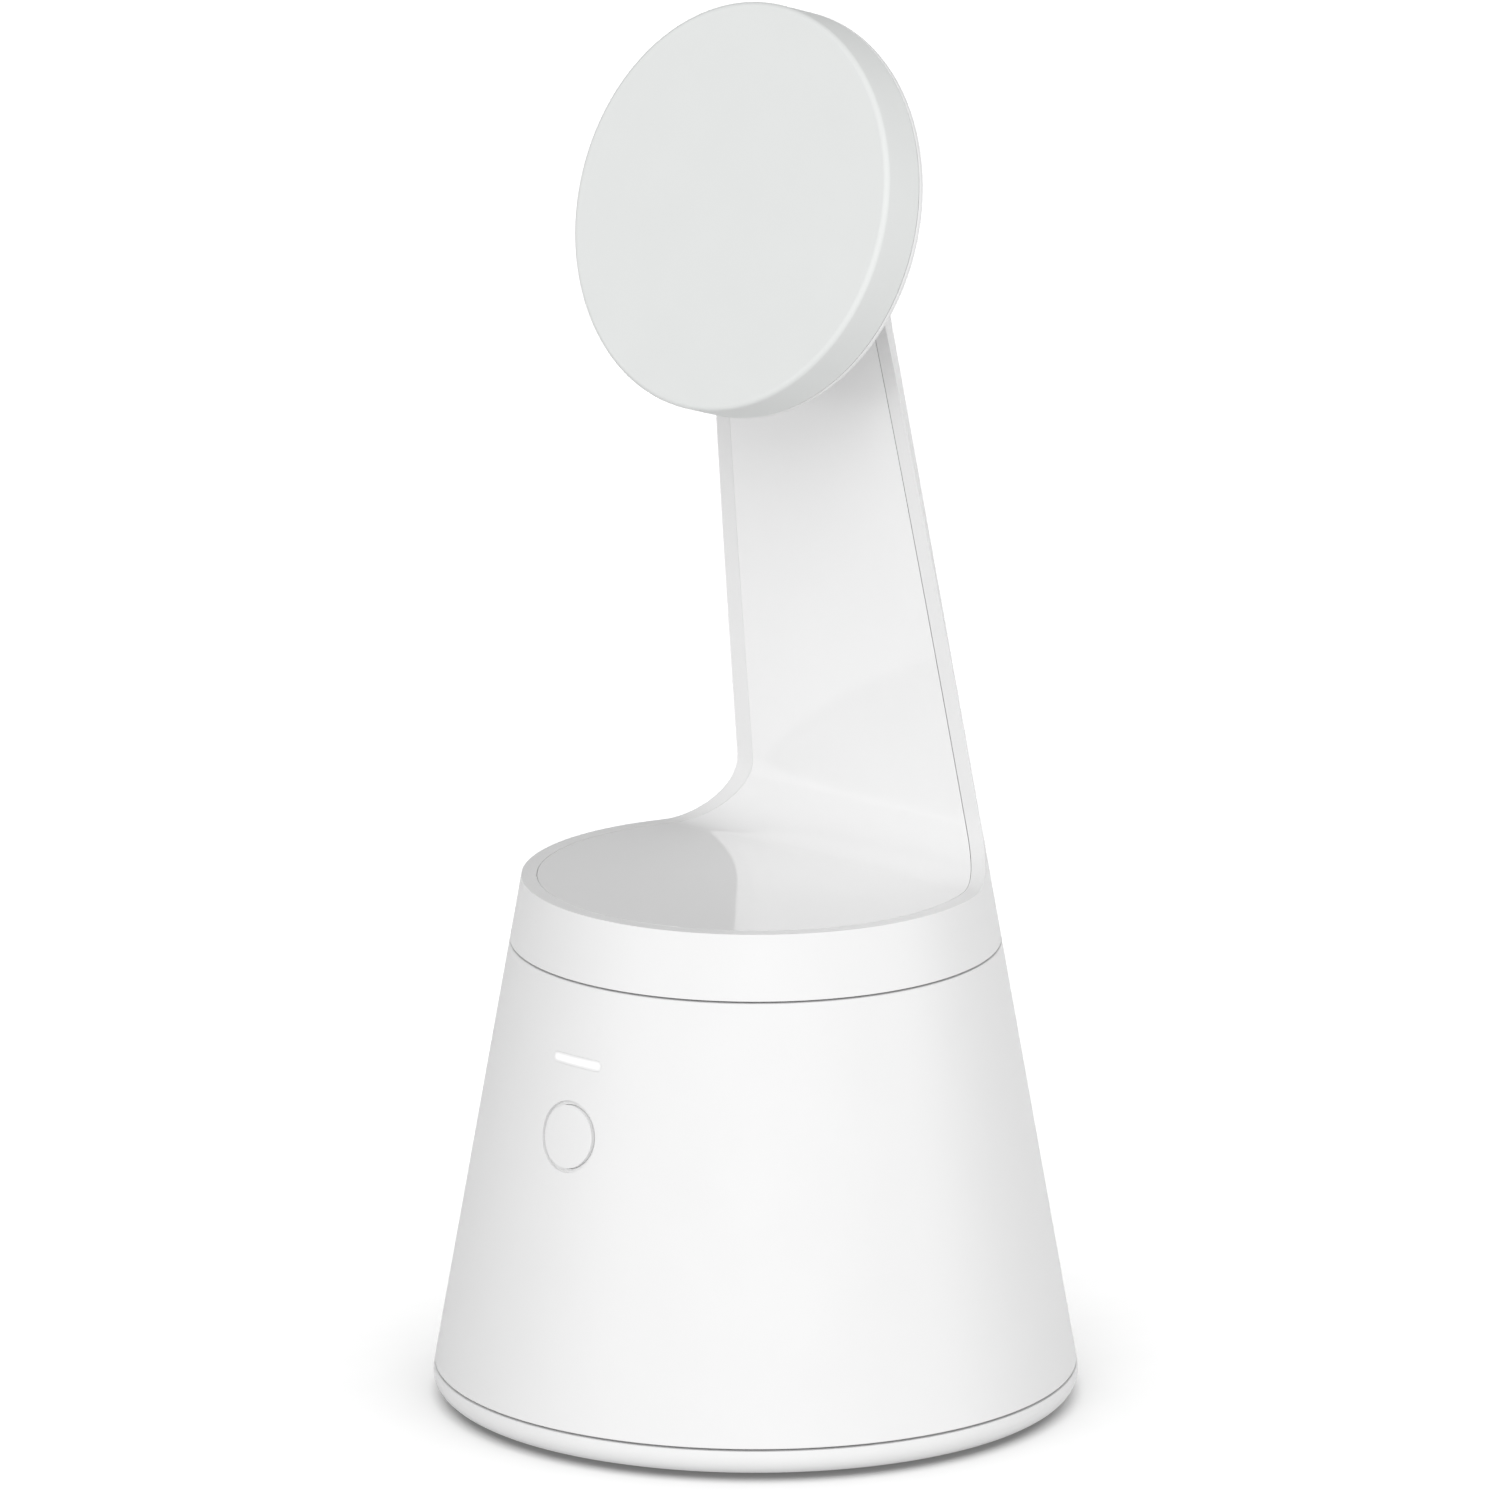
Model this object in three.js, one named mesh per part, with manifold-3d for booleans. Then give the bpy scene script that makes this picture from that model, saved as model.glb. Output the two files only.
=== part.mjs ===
// A motorised phone mount: a tapered base with a push button, a turntable with a
// leaning arm, and a magnetic disc that tilts on the arm's top.
// Millimetres, +Z up. The origin is the centre of the underside; the front faces -Y.
import * as THREE from "three";
import { mergeVertices } from "three/addons/utils/BufferGeometryUtils.js";
import Module from "manifold-3d";

const wasm = await Module();
wasm.setup();

// ---- Driving dimensions ----
const GAP = 0.3; // clearance between neighbouring pieces
const RUNNING = 0.15; // radial clearance of a turning fit
const ROUND = 48; // sides of a large round piece
const MEDIUM_ROUND = 24; // sides of a shaft, bearing or boss
const SMALL_ROUND = 10; // sides of a screw, pin or hole

const TAPER = THREE.MathUtils.degToRad(10); // the cone's half angle
const CONE_RADIUS = 45; // at CONE_Z
const CONE_Z = 4.6;
const WALL = 2.1; // outer shells

const FOOT_BOTTOM = 0.8;
const FOOT_FLOOR = 2.8; // top of the foot plate's web
const FOOT_TOP = 4.45;
const FOOT_RIM = { low: 41, high: 41.5 }; // inside radii of the foot plate's upstand
const FOOT_EDGE = [[40.5, 0.8], [42, 1.1], [43.2, 1.9], [44, 3.2], [44.4, 4.45]];
const RUBBER_RING = { inner: 37.4, outer: 39.6, height: 1.6, groove: 1.9 };
const BASE_BOTTOM = FOOT_TOP + GAP;
const BASE_TOP = 65.4;
const BASE_PLATE = { bottom: 62.6, top: 65.0, hole: 8.3 };
const COLLAR_BOTTOM = BASE_TOP + GAP;
const DECK = 74.8; // top of the collar
const DECK_THICK = 2.2;

const ARM_DEPTH = 10.3; // front to back, measured level
const ARM_FILLET = 8; // deck to arm front
const ARM_TOP = 156.5; // top of the arm's two shells, where the fork stands
const PIVOT_Z = 165.3; // tilt hinge
const SLOT = { half: 5.65, bottom: 160.2 }; // in the fork
const PIN = { radius: 1.6, half: 8.2 };

const HEAD_TILT = THREE.MathUtils.degToRad(18.3); // the face looks up by this much
const DISC = { radius: 28.5, back: 9.82, front: 17.82, wall: 1.5 }; // from the hinge
const PAD_BACK = 16.65;

const BUTTON_Z = 44.6;
const BUTTON = { radius: 4.7, flange: 5.6, stem: 1.6 };
const LIGHT = { rise: 10.56, half: 4.5, halfHeight: 0.75 };
const JACK = { z: 14, half: 4.5, mouth: 39.6, depth: 9, bore: 2.9, pin: 1.0 };

const CELL = { radius: 7.25, length: 50.5, nub: 1.3, pitch: 15.6, z: 10.15 };
const BAY = { x: 27.3, y: 23.3, wall: 1.7, top: 17.9 }; // half sizes of the battery opening
const DOOR_TOP = 2.4;

const GEAR = { teeth: 48, module: 0.75, bottom: 57.3, top: 60.3 };
const PINION_TEETH = 10;
const GEAR_CENTRES = ((GEAR.teeth + PINION_TEETH) * GEAR.module) / 2 + 0.15;
const PINION = { bottom: 56.9, top: 60.2, shaft: 1.5, shaftBottom: 48.5 };
const SPINDLE = { radius: 6, bore: 3.5, bottom: 55.0, flange: 9.5, top: 71.6 };
const SPINDLE_FLANGE_BOTTOM = 70.1;
const CLIP_GROOVE = { radius: 5.2, bottom: 55.7, top: 57 };
const CLIP = { inner: 5.5, outer: 8.5, bottom: 56, top: 56.7, mouth: 3.2 };
const BUSHING = { outer: 8, bottom: 60.6, flange: 11, shoulder: 65.3, top: 66.2 };
const THRUST = { inner: 6.4, outer: 11, bottom: 66.5, top: 67 };
const GEARBOX = { radius: 9, bottom: 40.3, top: 52.2 };
const MOTOR = { radius: 7.7, bottom: 30.5, top: 40 };
const ARM_LEDGE = { inner: 25.5, bottom: 70.1, top: 72.3 }; // takes the plate screws
const HOLE = { screw: 1.3, plateScrew: 1.2 }; // radii
const CHASSIS = { bottom: 52.5, top: 54.2, radius: 30.5 };
const TURNTABLE = { bottom: 67.3, top: 69.8, radius: 30.4 };
const MAIN_BOARD = { bottom: 27, top: 28.6, radius: 33 };
const BALLAST = { bottom: 20.2, top: 24.2, radius: 33 };
const BOSS_TOP = 19.8; // of the bosses that take the foot screws
const BOARD_LEDGE = { inner: 28, outer: 39.5, bottom: 24.6, half: 2.5 };
const RIB_BOTTOM = 13.8; // between the battery cells

const FOOT_SCREW_RING = { radius: 34, angles: [65, 115, 245, 295] };
const CHASSIS_SCREW_RING = { radius: 28, angles: [60, 180, 300] };
const BOARD_SCREW_RING = { radius: 30.5, angles: [30, 150, 270] };
const PLATE_SCREW_RING = { radius: 27.6, angles: [30, 150, 270] };
const HEAD_SCREW_RING = { radius: 6.2, angles: [30, 150, 270] };

// ---- Shape helpers ----
const coneRadius = (z) => CONE_RADIUS - Math.tan(TAPER) * (z - CONE_Z);
const insideRadius = (z, inset) => coneRadius(z) - inset / Math.cos(TAPER);

function toSolid(geometry) {
  const bare = geometry.clone();
  bare.deleteAttribute("normal");
  bare.deleteAttribute("uv");
  const merged = mergeVertices(bare, 1e-4);
  return new wasm.Manifold(
    new wasm.Mesh({
      numProp: 3,
      vertProperties: merged.attributes.position.array,
      triVerts: new Uint32Array(merged.index.array),
    }),
  );
}

function toGeometry(solid) {
  const mesh = solid.getMesh();
  const geometry = new THREE.BufferGeometry();
  geometry.setAttribute("position", new THREE.BufferAttribute(mesh.vertProperties, 3));
  geometry.setIndex(new THREE.BufferAttribute(mesh.triVerts, 1));
  const flat = geometry.toNonIndexed();
  flat.computeVertexNormals();
  return flat;
}

const cut = (body, ...tools) =>
  toGeometry(tools.reduce((left, tool) => left.subtract(toSolid(tool)), toSolid(body)));
const join = (...bodies) =>
  toGeometry(bodies.map(toSolid).reduce((whole, body) => whole.add(body)));
const common = (body, tool) => toGeometry(toSolid(body).intersect(toSolid(tool)));

// A solid of revolution about Z; the outline is [radius, z] pairs, anticlockwise.
function turned(outline, sides = ROUND) {
  const points = outline.map(([radius, z]) => new THREE.Vector2(radius, z));
  if (outline[0][0] > 0) points.push(points[0].clone());
  return new THREE.LatheGeometry(points, sides).rotateX(Math.PI / 2);
}

const disc = (radius, bottom, top, sides = ROUND) =>
  turned([[0, bottom], [radius, bottom], [radius, top], [0, top]], sides);
const ring = (inner, outer, bottom, top, sides = ROUND) =>
  turned([[inner, bottom], [outer, bottom], [outer, top], [inner, top]], sides);
const drum = (radius, bottom, top) => disc(radius, bottom, top, MEDIUM_ROUND);
const rod = (radius, bottom, top) => disc(radius, bottom, top, SMALL_ROUND);

// The same round pieces with their axis along -Y, so a height is a distance forward.
const facingFront = (geometry) => geometry.rotateX(Math.PI / 2);
const alongX = (geometry) => geometry.rotateY(Math.PI / 2);

function box(x, y, z) {
  const size = [x, y, z].map(([low, high]) => high - low);
  const middle = [x, y, z].map(([low, high]) => (low + high) / 2);
  return new THREE.BoxGeometry(...size).translate(...middle);
}
const centred = (half) => [-half, half];

// A side outline in the Y-Z plane, drawn out along X to both sides.
function acrossX(shape, half) {
  const axes = new THREE.Matrix4().makeBasis(
    new THREE.Vector3(0, 1, 0),
    new THREE.Vector3(0, 0, 1),
    new THREE.Vector3(1, 0, 0),
  );
  const options = { depth: 2 * half, bevelEnabled: false, curveSegments: 14 };
  return new THREE.ExtrudeGeometry(shape, options).applyMatrix4(axes).translate(-half, 0, 0);
}

const polygon = (points) => new THREE.Shape(points.map(([x, y]) => new THREE.Vector2(x, y)));

// Copies of one tool on a screw circle.
function onRing({ radius, angles }, make) {
  return angles.map((degrees) => {
    const angle = THREE.MathUtils.degToRad(degrees);
    return make().translate(radius * Math.cos(angle), radius * Math.sin(angle), 0);
  });
}

const outerCone = (bottom, top, inset = 0) =>
  turned([
    [0, bottom],
    [insideRadius(bottom, inset), bottom],
    [insideRadius(top, inset), top],
    [0, top],
  ]);

// ---- Finishes ----
const finish = (color, roughness, metalness = 0) => ({ color, roughness, metalness });
const WHITE = finish(0xf2f2f2, 0.45);
const GLOSS_WHITE = finish(0xf3f3f3, 0.12);
const PAD_GREY = finish(0xe4e7e5, 0.6);
const RING_GREY = finish(0xd9dbdb, 0.4);
const RUBBER = finish(0x8d8f90, 0.9);
const DARK_PLASTIC = finish(0x2b2c2e, 0.5);
const STEEL = finish(0xb4b7ba, 0.35, 1);
const BRASS = finish(0xc9a45a, 0.35, 1);
const NYLON = finish(0xe9e5d8, 0.5);
const BOARD = finish(0x1f6b3a, 0.5);
const CELL_WRAP = finish(0x3c4148, 0.35, 0.4);
const LENS = finish(0xfbfdff, 0.2);

function part(name, geometry, look) {
  const mesh = new THREE.Mesh(geometry, new THREE.MeshStandardMaterial(look));
  mesh.name = name;
  return mesh;
}

function screws(name, circle, headRadius, shankRadius, [headLow, headHigh], shankEnd) {
  const make = () => {
    const shank = [Math.min(headLow, shankEnd), Math.max(headHigh, shankEnd)];
    return join(rod(headRadius, headLow, headHigh), rod(shankRadius, ...shank));
  };
  return onRing(circle, make).map((geometry, i) => part(name + "_" + (i + 1), geometry, STEEL));
}

// ---- The frame on the base's front wall: forward is out of the wall, up is along it ----
const wallFrame = new THREE.Matrix4()
  .makeRotationX(-TAPER)
  .setPosition(0, -coneRadius(BUTTON_Z), BUTTON_Z);
const buttonHole = () =>
  facingFront(drum(BUTTON.radius + GAP, -8, 4)).applyMatrix4(wallFrame);

function lightSlot(grow, inner, outer) {
  const half = LIGHT.half + grow;
  const round = LIGHT.halfHeight + grow;
  const outline = new THREE.Shape();
  outline.absarc(half - round, 0, round, -Math.PI / 2, Math.PI / 2, false);
  outline.absarc(round - half, 0, round, Math.PI / 2, 1.5 * Math.PI, false);
  const options = { depth: outer - inner, bevelEnabled: false, curveSegments: 8 };
  return new THREE.ExtrudeGeometry(outline, options)
    .translate(0, 0, inner)
    .rotateX(Math.PI / 2)
    .translate(0, 0, LIGHT.rise);
}

// ---- Foot and battery bay ----
function footPlate() {
  const plate = turned([
    [0, FOOT_BOTTOM], ...FOOT_EDGE,
    [FOOT_RIM.high, FOOT_TOP], [FOOT_RIM.low, FOOT_FLOOR], [0, FOOT_FLOOR],
  ]);
  const merge = FOOT_FLOOR - 0.1;
  const lip = box(centred(BAY.x + BAY.wall), centred(BAY.y + BAY.wall), [merge, FOOT_TOP]);
  const pads = onRing(FOOT_SCREW_RING, () => disc(4.2, merge, FOOT_TOP, SMALL_ROUND));
  const opening = box(centred(BAY.x), centred(BAY.y), [0, 6]);
  const { inner, outer, groove } = RUBBER_RING;
  const foot = ring(inner - GAP, outer + GAP, 0, groove);
  const heads = onRing(FOOT_SCREW_RING, () => rod(2.9, 0, FOOT_FLOOR + 0.1));
  const holes = onRing(FOOT_SCREW_RING, () => rod(1.5, 0, 6));
  return cut(join(plate, lip, ...pads), opening, foot, ...heads, ...holes);
}

function batteryTray() {
  const outside = [BAY.x + BAY.wall, BAY.y + BAY.wall];
  const shell = box(centred(outside[0]), centred(outside[1]), [BASE_BOTTOM, BAY.top + BAY.wall]);
  const inside = box(centred(BAY.x), centred(BAY.y), [0, BAY.top]);
  const rib = (y) => box(centred(24), [y - 0.9, y + 0.9], [RIB_BOTTOM, BAY.top + 0.5]);
  const ribs = [-CELL.pitch / 2, CELL.pitch / 2].map(rib);
  return join(cut(shell, inside), ...ribs);
}

function batteryDoor() {
  const panel = box(centred(BAY.x - 0.4), centred(BAY.y - 0.4), [FOOT_BOTTOM, DOOR_TOP]);
  const notch = drum(5, 0, 1.5).translate(0, -BAY.y - 1, 0);
  return cut(panel, notch);
}

function cells() {
  const end = CELL.length / 2;
  return [-1, 0, 1].map((row, i) => {
    const can = turned([
      [0, -end], [6.9, -end], [CELL.radius, -end + 0.5], [CELL.radius, end - CELL.nub - 0.5],
      [6.9, end - CELL.nub], [2.7, end - CELL.nub], [2.7, end], [0, end],
    ], MEDIUM_ROUND);
    const cell = part("battery_cell_" + (i + 1), alongX(can), CELL_WRAP);
    cell.rotation.z = i % 2 ? Math.PI : 0;
    cell.position.set(0, row * CELL.pitch, CELL.z);
    return cell;
  });
}

function contactStrips() {
  return [["left", -1], ["right", 1]].map(([side, sign]) => {
    const strip = part("battery_contact_" + side, new THREE.BoxGeometry(0.5, 43, 10), BRASS);
    strip.position.set(sign * 26.3, 0, CELL.z);
    return strip;
  });
}

// ---- Base shell ----
function baseShell() {
  const wall = turned([
    [insideRadius(BASE_BOTTOM, WALL), BASE_BOTTOM],
    [coneRadius(BASE_BOTTOM), BASE_BOTTOM],
    [coneRadius(BASE_TOP), BASE_TOP],
    [coneRadius(BASE_TOP) - WALL, BASE_TOP],
    [coneRadius(BASE_TOP) - WALL, BASE_PLATE.top],
    [BASE_PLATE.hole, BASE_PLATE.top],
    [BASE_PLATE.hole, BASE_PLATE.bottom],
    [insideRadius(BASE_PLATE.bottom, WALL), BASE_PLATE.bottom],
  ]);
  const bosses = FOOT_SCREW_RING.angles.map((degrees) =>
    join(
      disc(2.8, BASE_BOTTOM, BOSS_TOP, SMALL_ROUND).translate(FOOT_SCREW_RING.radius, 0, 0),
      box([FOOT_SCREW_RING.radius, 41], centred(0.8), [BASE_BOTTOM, BOSS_TOP]),
    ).rotateZ(THREE.MathUtils.degToRad(degrees)),
  );
  const { inner, outer, bottom, half } = BOARD_LEDGE;
  const ledges = BOARD_SCREW_RING.angles.map((degrees) =>
    box([inner, outer], centred(half), [bottom, MAIN_BOARD.bottom - GAP])
      .rotateZ(THREE.MathUtils.degToRad(degrees)),
  );
  const posts = onRing(CHASSIS_SCREW_RING, () => rod(2.4, CHASSIS.top + GAP, 63));
  const holes = [
    ...onRing(FOOT_SCREW_RING, () => rod(HOLE.screw, 4, 14)),
    ...onRing(BOARD_SCREW_RING, () => rod(HOLE.screw, 20, 30)),
    ...onRing(CHASSIS_SCREW_RING, () => rod(HOLE.screw, 54, 61)),
    facingFront(drum(JACK.half + 0.1, -46, -38)).translate(0, 0, JACK.z),
    buttonHole(),
    lightSlot(GAP, -8, 4).applyMatrix4(wallFrame),
  ];
  return cut(join(wall, ...bosses, ...ledges, ...posts), ...holes);
}

function powerInlet() {
  const housing = box(centred(JACK.half), [28, JACK.mouth], centred(JACK.half));
  const along = (geometry) => geometry.rotateX(-Math.PI / 2);
  const bore = along(rod(JACK.bore, JACK.mouth - JACK.depth, JACK.mouth + 1));
  const pin = along(rod(JACK.pin, JACK.mouth - JACK.depth - 0.5, JACK.mouth - 1));
  return join(cut(housing, bore), pin).translate(0, 0, JACK.z);
}

// ---- Button, light and their board, in the wall's own frame ----
function frontControls() {
  const group = new THREE.Group();
  group.applyMatrix4(wallFrame);
  const skin = (proud) =>
    outerCone(BASE_BOTTOM, BASE_TOP, -proud).applyMatrix4(wallFrame.clone().invert());
  const cap = facingFront(turned([
    [0, -5.6], [BUTTON.stem, -5.6], [BUTTON.stem, -4], [BUTTON.flange, -4],
    [BUTTON.flange, -3], [BUTTON.radius, -3], [BUTTON.radius, 1], [0, 1],
  ], MEDIUM_ROUND));
  const stalk = facingFront(rod(BUTTON.stem, -7.8, -6.5));
  const switchBody = box(centred(3), [7.6, 10.3], centred(3));
  group.add(
    part("power_button", common(cap, skin(0.1)), WHITE),
    part("status_light_lens", common(lightSlot(0, -8.2, 2), skin(0)), LENS),
    part("tact_switch", join(switchBody, stalk), DARK_PLASTIC),
    part("status_led", box(centred(2.5), [8.7, 10.3], [LIGHT.rise - 1, LIGHT.rise + 1]), LENS),
    part("front_board", box(centred(8), [10.6, 12], [-8, 13.5]), BOARD),
  );
  return group;
}

// ---- Drive ----
function gearOutline(teeth) {
  const pitch = (teeth * GEAR.module) / 2;
  const tip = pitch + GEAR.module;
  const root = pitch - 1.25 * GEAR.module;
  const step = (2 * Math.PI) / teeth;
  const corners = [[-0.27, root], [-0.12, tip], [0.12, tip], [0.27, root]];
  const points = [];
  for (let tooth = 0; tooth < teeth; tooth += 1) {
    for (const [turn, radius] of corners) {
      const angle = (tooth + turn) * step;
      points.push([radius * Math.cos(angle), radius * Math.sin(angle)]);
    }
  }
  return polygon(points);
}

function gear(teeth, bottom, top) {
  const options = { depth: top - bottom, bevelEnabled: false };
  return new THREE.ExtrudeGeometry(gearOutline(teeth), options).translate(0, 0, bottom);
}

function driveGear() {
  const bore = drum(SPINDLE.radius + GAP, 50, 70);
  const web = { radius: 11.6, angles: [0, 72, 144, 216, 288] };
  const lightening = onRing(web, () => rod(2.8, 50, 70));
  return cut(gear(GEAR.teeth, GEAR.bottom, GEAR.top), bore, ...lightening);
}

function motorPinion() {
  const halfTooth = Math.PI / PINION_TEETH; // a gap of the pinion faces a tooth of the gear
  return join(
    gear(PINION_TEETH, PINION.bottom, PINION.top).rotateZ(halfTooth),
    rod(PINION.shaft, PINION.shaftBottom, PINION.top),
  );
}

function driveChassis() {
  const plate = disc(CHASSIS.radius, CHASSIS.bottom, CHASSIS.top);
  const boardCut = box(centred(11), [-40, -21], [50, 56]);
  const holes = onRing(CHASSIS_SCREW_RING, () => rod(HOLE.screw, 50, 56));
  const shaftHole = rod(3, 50, 56).translate(GEAR_CENTRES, 0, 0);
  return cut(plate, boardCut, drum(7, 50, 56), shaftHole, ...holes);
}

function spindle() {
  const { radius, bore, bottom, flange, top } = SPINDLE;
  return turned([
    [bore, bottom], [radius, bottom], [radius, CLIP_GROOVE.bottom],
    [CLIP_GROOVE.radius, CLIP_GROOVE.bottom], [CLIP_GROOVE.radius, CLIP_GROOVE.top],
    [radius, CLIP_GROOVE.top], [radius, SPINDLE_FLANGE_BOTTOM],
    [flange, SPINDLE_FLANGE_BOTTOM], [flange, top], [bore, top],
  ], MEDIUM_ROUND);
}

function retainingClip() {
  const washer = ring(CLIP.inner, CLIP.outer, CLIP.bottom, CLIP.top, MEDIUM_ROUND);
  return cut(washer, box([0, 12], centred(CLIP.mouth), [50, 60]));
}

function spindleBushing() {
  const inner = SPINDLE.radius + RUNNING;
  const { outer, bottom, flange, shoulder, top } = BUSHING;
  return turned([
    [inner, bottom], [outer, bottom], [outer, shoulder], [flange, shoulder],
    [flange, top], [inner, top],
  ], MEDIUM_ROUND);
}

function turntablePlate() {
  const plate = disc(TURNTABLE.radius, TURNTABLE.bottom, TURNTABLE.top);
  const heads = onRing(PLATE_SCREW_RING, () => rod(2.3, 60, 68.6));
  const holes = onRing(PLATE_SCREW_RING, () => rod(HOLE.plateScrew, 60, 72));
  return cut(plate, drum(SPINDLE.radius + GAP, 60, 72), ...heads, ...holes);
}

// ---- Arm: the cone carried up and cut by a plane parallel to its back ----
const armFront = (z) => coneRadius(z) - ARM_DEPTH;
const pivotY = coneRadius(PIVOT_Z) - ARM_DEPTH / 2;
const barrelRadius = (ARM_DEPTH / 2) * Math.cos(TAPER);

function sideOutline() {
  const far = 60;
  const filletZ = DECK + ARM_FILLET;
  const filletY = armFront(filletZ) - ARM_FILLET / Math.cos(TAPER);
  const outline = new THREE.Shape();
  outline.moveTo(-far, 60);
  outline.lineTo(-far, DECK);
  outline.absarc(filletY, filletZ, ARM_FILLET, -Math.PI / 2, TAPER, false);
  outline.absarc(pivotY, PIVOT_Z, barrelRadius, Math.PI + TAPER, TAPER, true);
  outline.lineTo(far, 175);
  outline.lineTo(far, 60);
  return outline;
}

function armShell() {
  const skin = common(outerCone(COLLAR_BOTTOM, ARM_TOP), acrossX(sideOutline(), 50));
  const hollow = outerCone(60, 160, WALL);
  const { inner, bottom, top } = ARM_LEDGE;
  const ledge = ring(inner, insideRadius(71, WALL / 2), bottom, top);
  const spineWay = box(centred(10), [0, 30], [60, DECK]);
  const ledgeHoles = onRing(PLATE_SCREW_RING, () => rod(HOLE.plateScrew, 70, 72.05));
  const holder = cut(ledge, spineWay, ...ledgeHoles);
  return join(cut(skin, hollow), holder);
}

function armLiner() {
  const bottom = DECK - DECK_THICK;
  const body = common(outerCone(bottom, ARM_TOP, WALL + GAP), acrossX(sideOutline(), 50));
  const behind = (z) => armFront(z) + DECK_THICK / Math.cos(TAPER);
  const low = bottom - 1;
  const high = ARM_TOP + 2;
  const cavity = polygon([[behind(low), low], [60, low], [60, high], [behind(high), high]]);
  return cut(body, acrossX(cavity, 50));
}

function armFork() {
  const block = common(outerCone(ARM_TOP + GAP, 178), acrossX(sideOutline(), 50));
  const slot = box(centred(SLOT.half), [0, 30], [SLOT.bottom, 180]);
  const pinHole = alongX(rod(PIN.radius + GAP, -PIN.half - GAP, 20));
  return cut(block, slot, pinHole.translate(0, pivotY, PIVOT_Z));
}

function armSpine() {
  const back = (z) => insideRadius(z, WALL) - 1.6;
  const front = (z) => back(z) - 2;
  const foot = { y: 11, low: SPINDLE_FLANGE_BOTTOM, high: 71.9 };
  const top = ARM_TOP - 1;
  const outline = polygon([
    [foot.y, foot.low], [back(foot.low), foot.low], [back(top), top], [front(top), top],
    [front(foot.high), foot.high], [foot.y, foot.high],
  ]);
  return acrossX(outline, 7);
}

// ---- Head, in a frame on the tilt hinge whose forward direction leaves the face ----
function knuckle() {
  const flange = facingFront(drum(9, 7.5, DISC.back - GAP));
  const neck = box(centred(4.6), [-8, 0], centred(3.6));
  const barrel = alongX(drum(4.6, -4.6, 4.6));
  const bore = alongX(rod(PIN.radius + GAP, -10, 10));
  const holes = onRing(HEAD_SCREW_RING, () => rod(HOLE.screw, 6, 12)).map(facingFront);
  return cut(join(flange, neck, barrel), bore, ...holes);
}

function discHousing() {
  const { radius, back, wall } = DISC;
  const rim = PAD_BACK - GAP;
  const cup = turned([
    [0, back], [radius - 0.8, back], [radius - 0.2, back + 0.3], [radius, back + 0.9],
    [radius, rim], [radius - wall, rim], [radius - wall, back + 1.6], [0, back + 1.6],
  ]);
  const holes = onRing(HEAD_SCREW_RING, () => rod(HOLE.screw, 6, 12));
  return facingFront(cut(cup, ...holes));
}

function frontPad() {
  const { radius, front } = DISC;
  return facingFront(turned([
    [0, PAD_BACK], [radius, PAD_BACK], [radius, front - 0.7], [radius - 0.25, front - 0.25],
    [radius - 0.7, front], [0, front],
  ]));
}

function head() {
  const group = new THREE.Group();
  group.position.set(0, pivotY, PIVOT_Z);
  group.rotation.x = -HEAD_TILT;
  group.add(
    part("front_pad", frontPad(), PAD_GREY),
    part("disc_housing", discHousing(), WHITE),
    part("magnet_ring", facingFront(ring(22.8, 26.6, 14.3, 16.3)), STEEL),
    part("magnet_carrier", facingFront(disc(22.4, 14.3, 16.3)), NYLON),
    part("steel_yoke", facingFront(disc(26.6, 13, 14)), STEEL),
    part("head_knuckle", knuckle(), RING_GREY),
    ...screws("head_screw", HEAD_SCREW_RING, 2, 1, [11.8, 12.7], 8)
      .map((screw) => screw.rotateX(Math.PI / 2)),
  );
  for (const [side, sign] of [["left", -1], ["right", 1]]) {
    const shape = alongX(ring(1.9, 4.2, -0.2, 0.2, MEDIUM_ROUND));
    const washer = part("friction_washer_" + side, shape, NYLON);
    washer.position.x = sign * 5.1;
    group.add(washer);
  }
  return group;
}

// ---- Assembly ----
const root = new THREE.Group();

root.add(
  part(
    "rubber_foot_ring",
    ring(RUBBER_RING.inner, RUBBER_RING.outer, 0, RUBBER_RING.height),
    RUBBER,
  ),
  part("foot_plate", footPlate(), WHITE),
  part("battery_tray", batteryTray(), DARK_PLASTIC),
  part("battery_door", batteryDoor(), WHITE),
  ...cells(),
  ...contactStrips(),
  ...screws("foot_screw", FOOT_SCREW_RING, 2.6, 1, [1.1, 2.6], 12),
  part("ballast_plate", disc(BALLAST.radius, BALLAST.bottom, BALLAST.top), STEEL),
  part("base_shell", baseShell(), WHITE),
  part("power_inlet", powerInlet(), DARK_PLASTIC),
  part("main_board", cut(
    disc(MAIN_BOARD.radius, MAIN_BOARD.bottom, MAIN_BOARD.top),
    ...onRing(BOARD_SCREW_RING, () => rod(HOLE.screw, 20, 30)),
  ), BOARD),
  part("controller_chip", box(centred(4), centred(4), [28.9, 30]), DARK_PLASTIC),
  ...screws("board_screw", BOARD_SCREW_RING, 2, 1, [28.9, 30], 24.9),
  frontControls(),
);

const gearbox = part("gearbox", cut(
  drum(GEARBOX.radius, GEARBOX.bottom, GEARBOX.top),
  rod(PINION.shaft + GAP, PINION.shaftBottom - GAP, 60),
), STEEL);
gearbox.position.x = GEAR_CENTRES;
const motor = part("drive_motor", drum(MOTOR.radius, MOTOR.bottom, MOTOR.top), STEEL);
motor.position.x = GEAR_CENTRES;
const pinion = part("motor_pinion", motorPinion(), BRASS);
pinion.position.x = GEAR_CENTRES;

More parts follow.
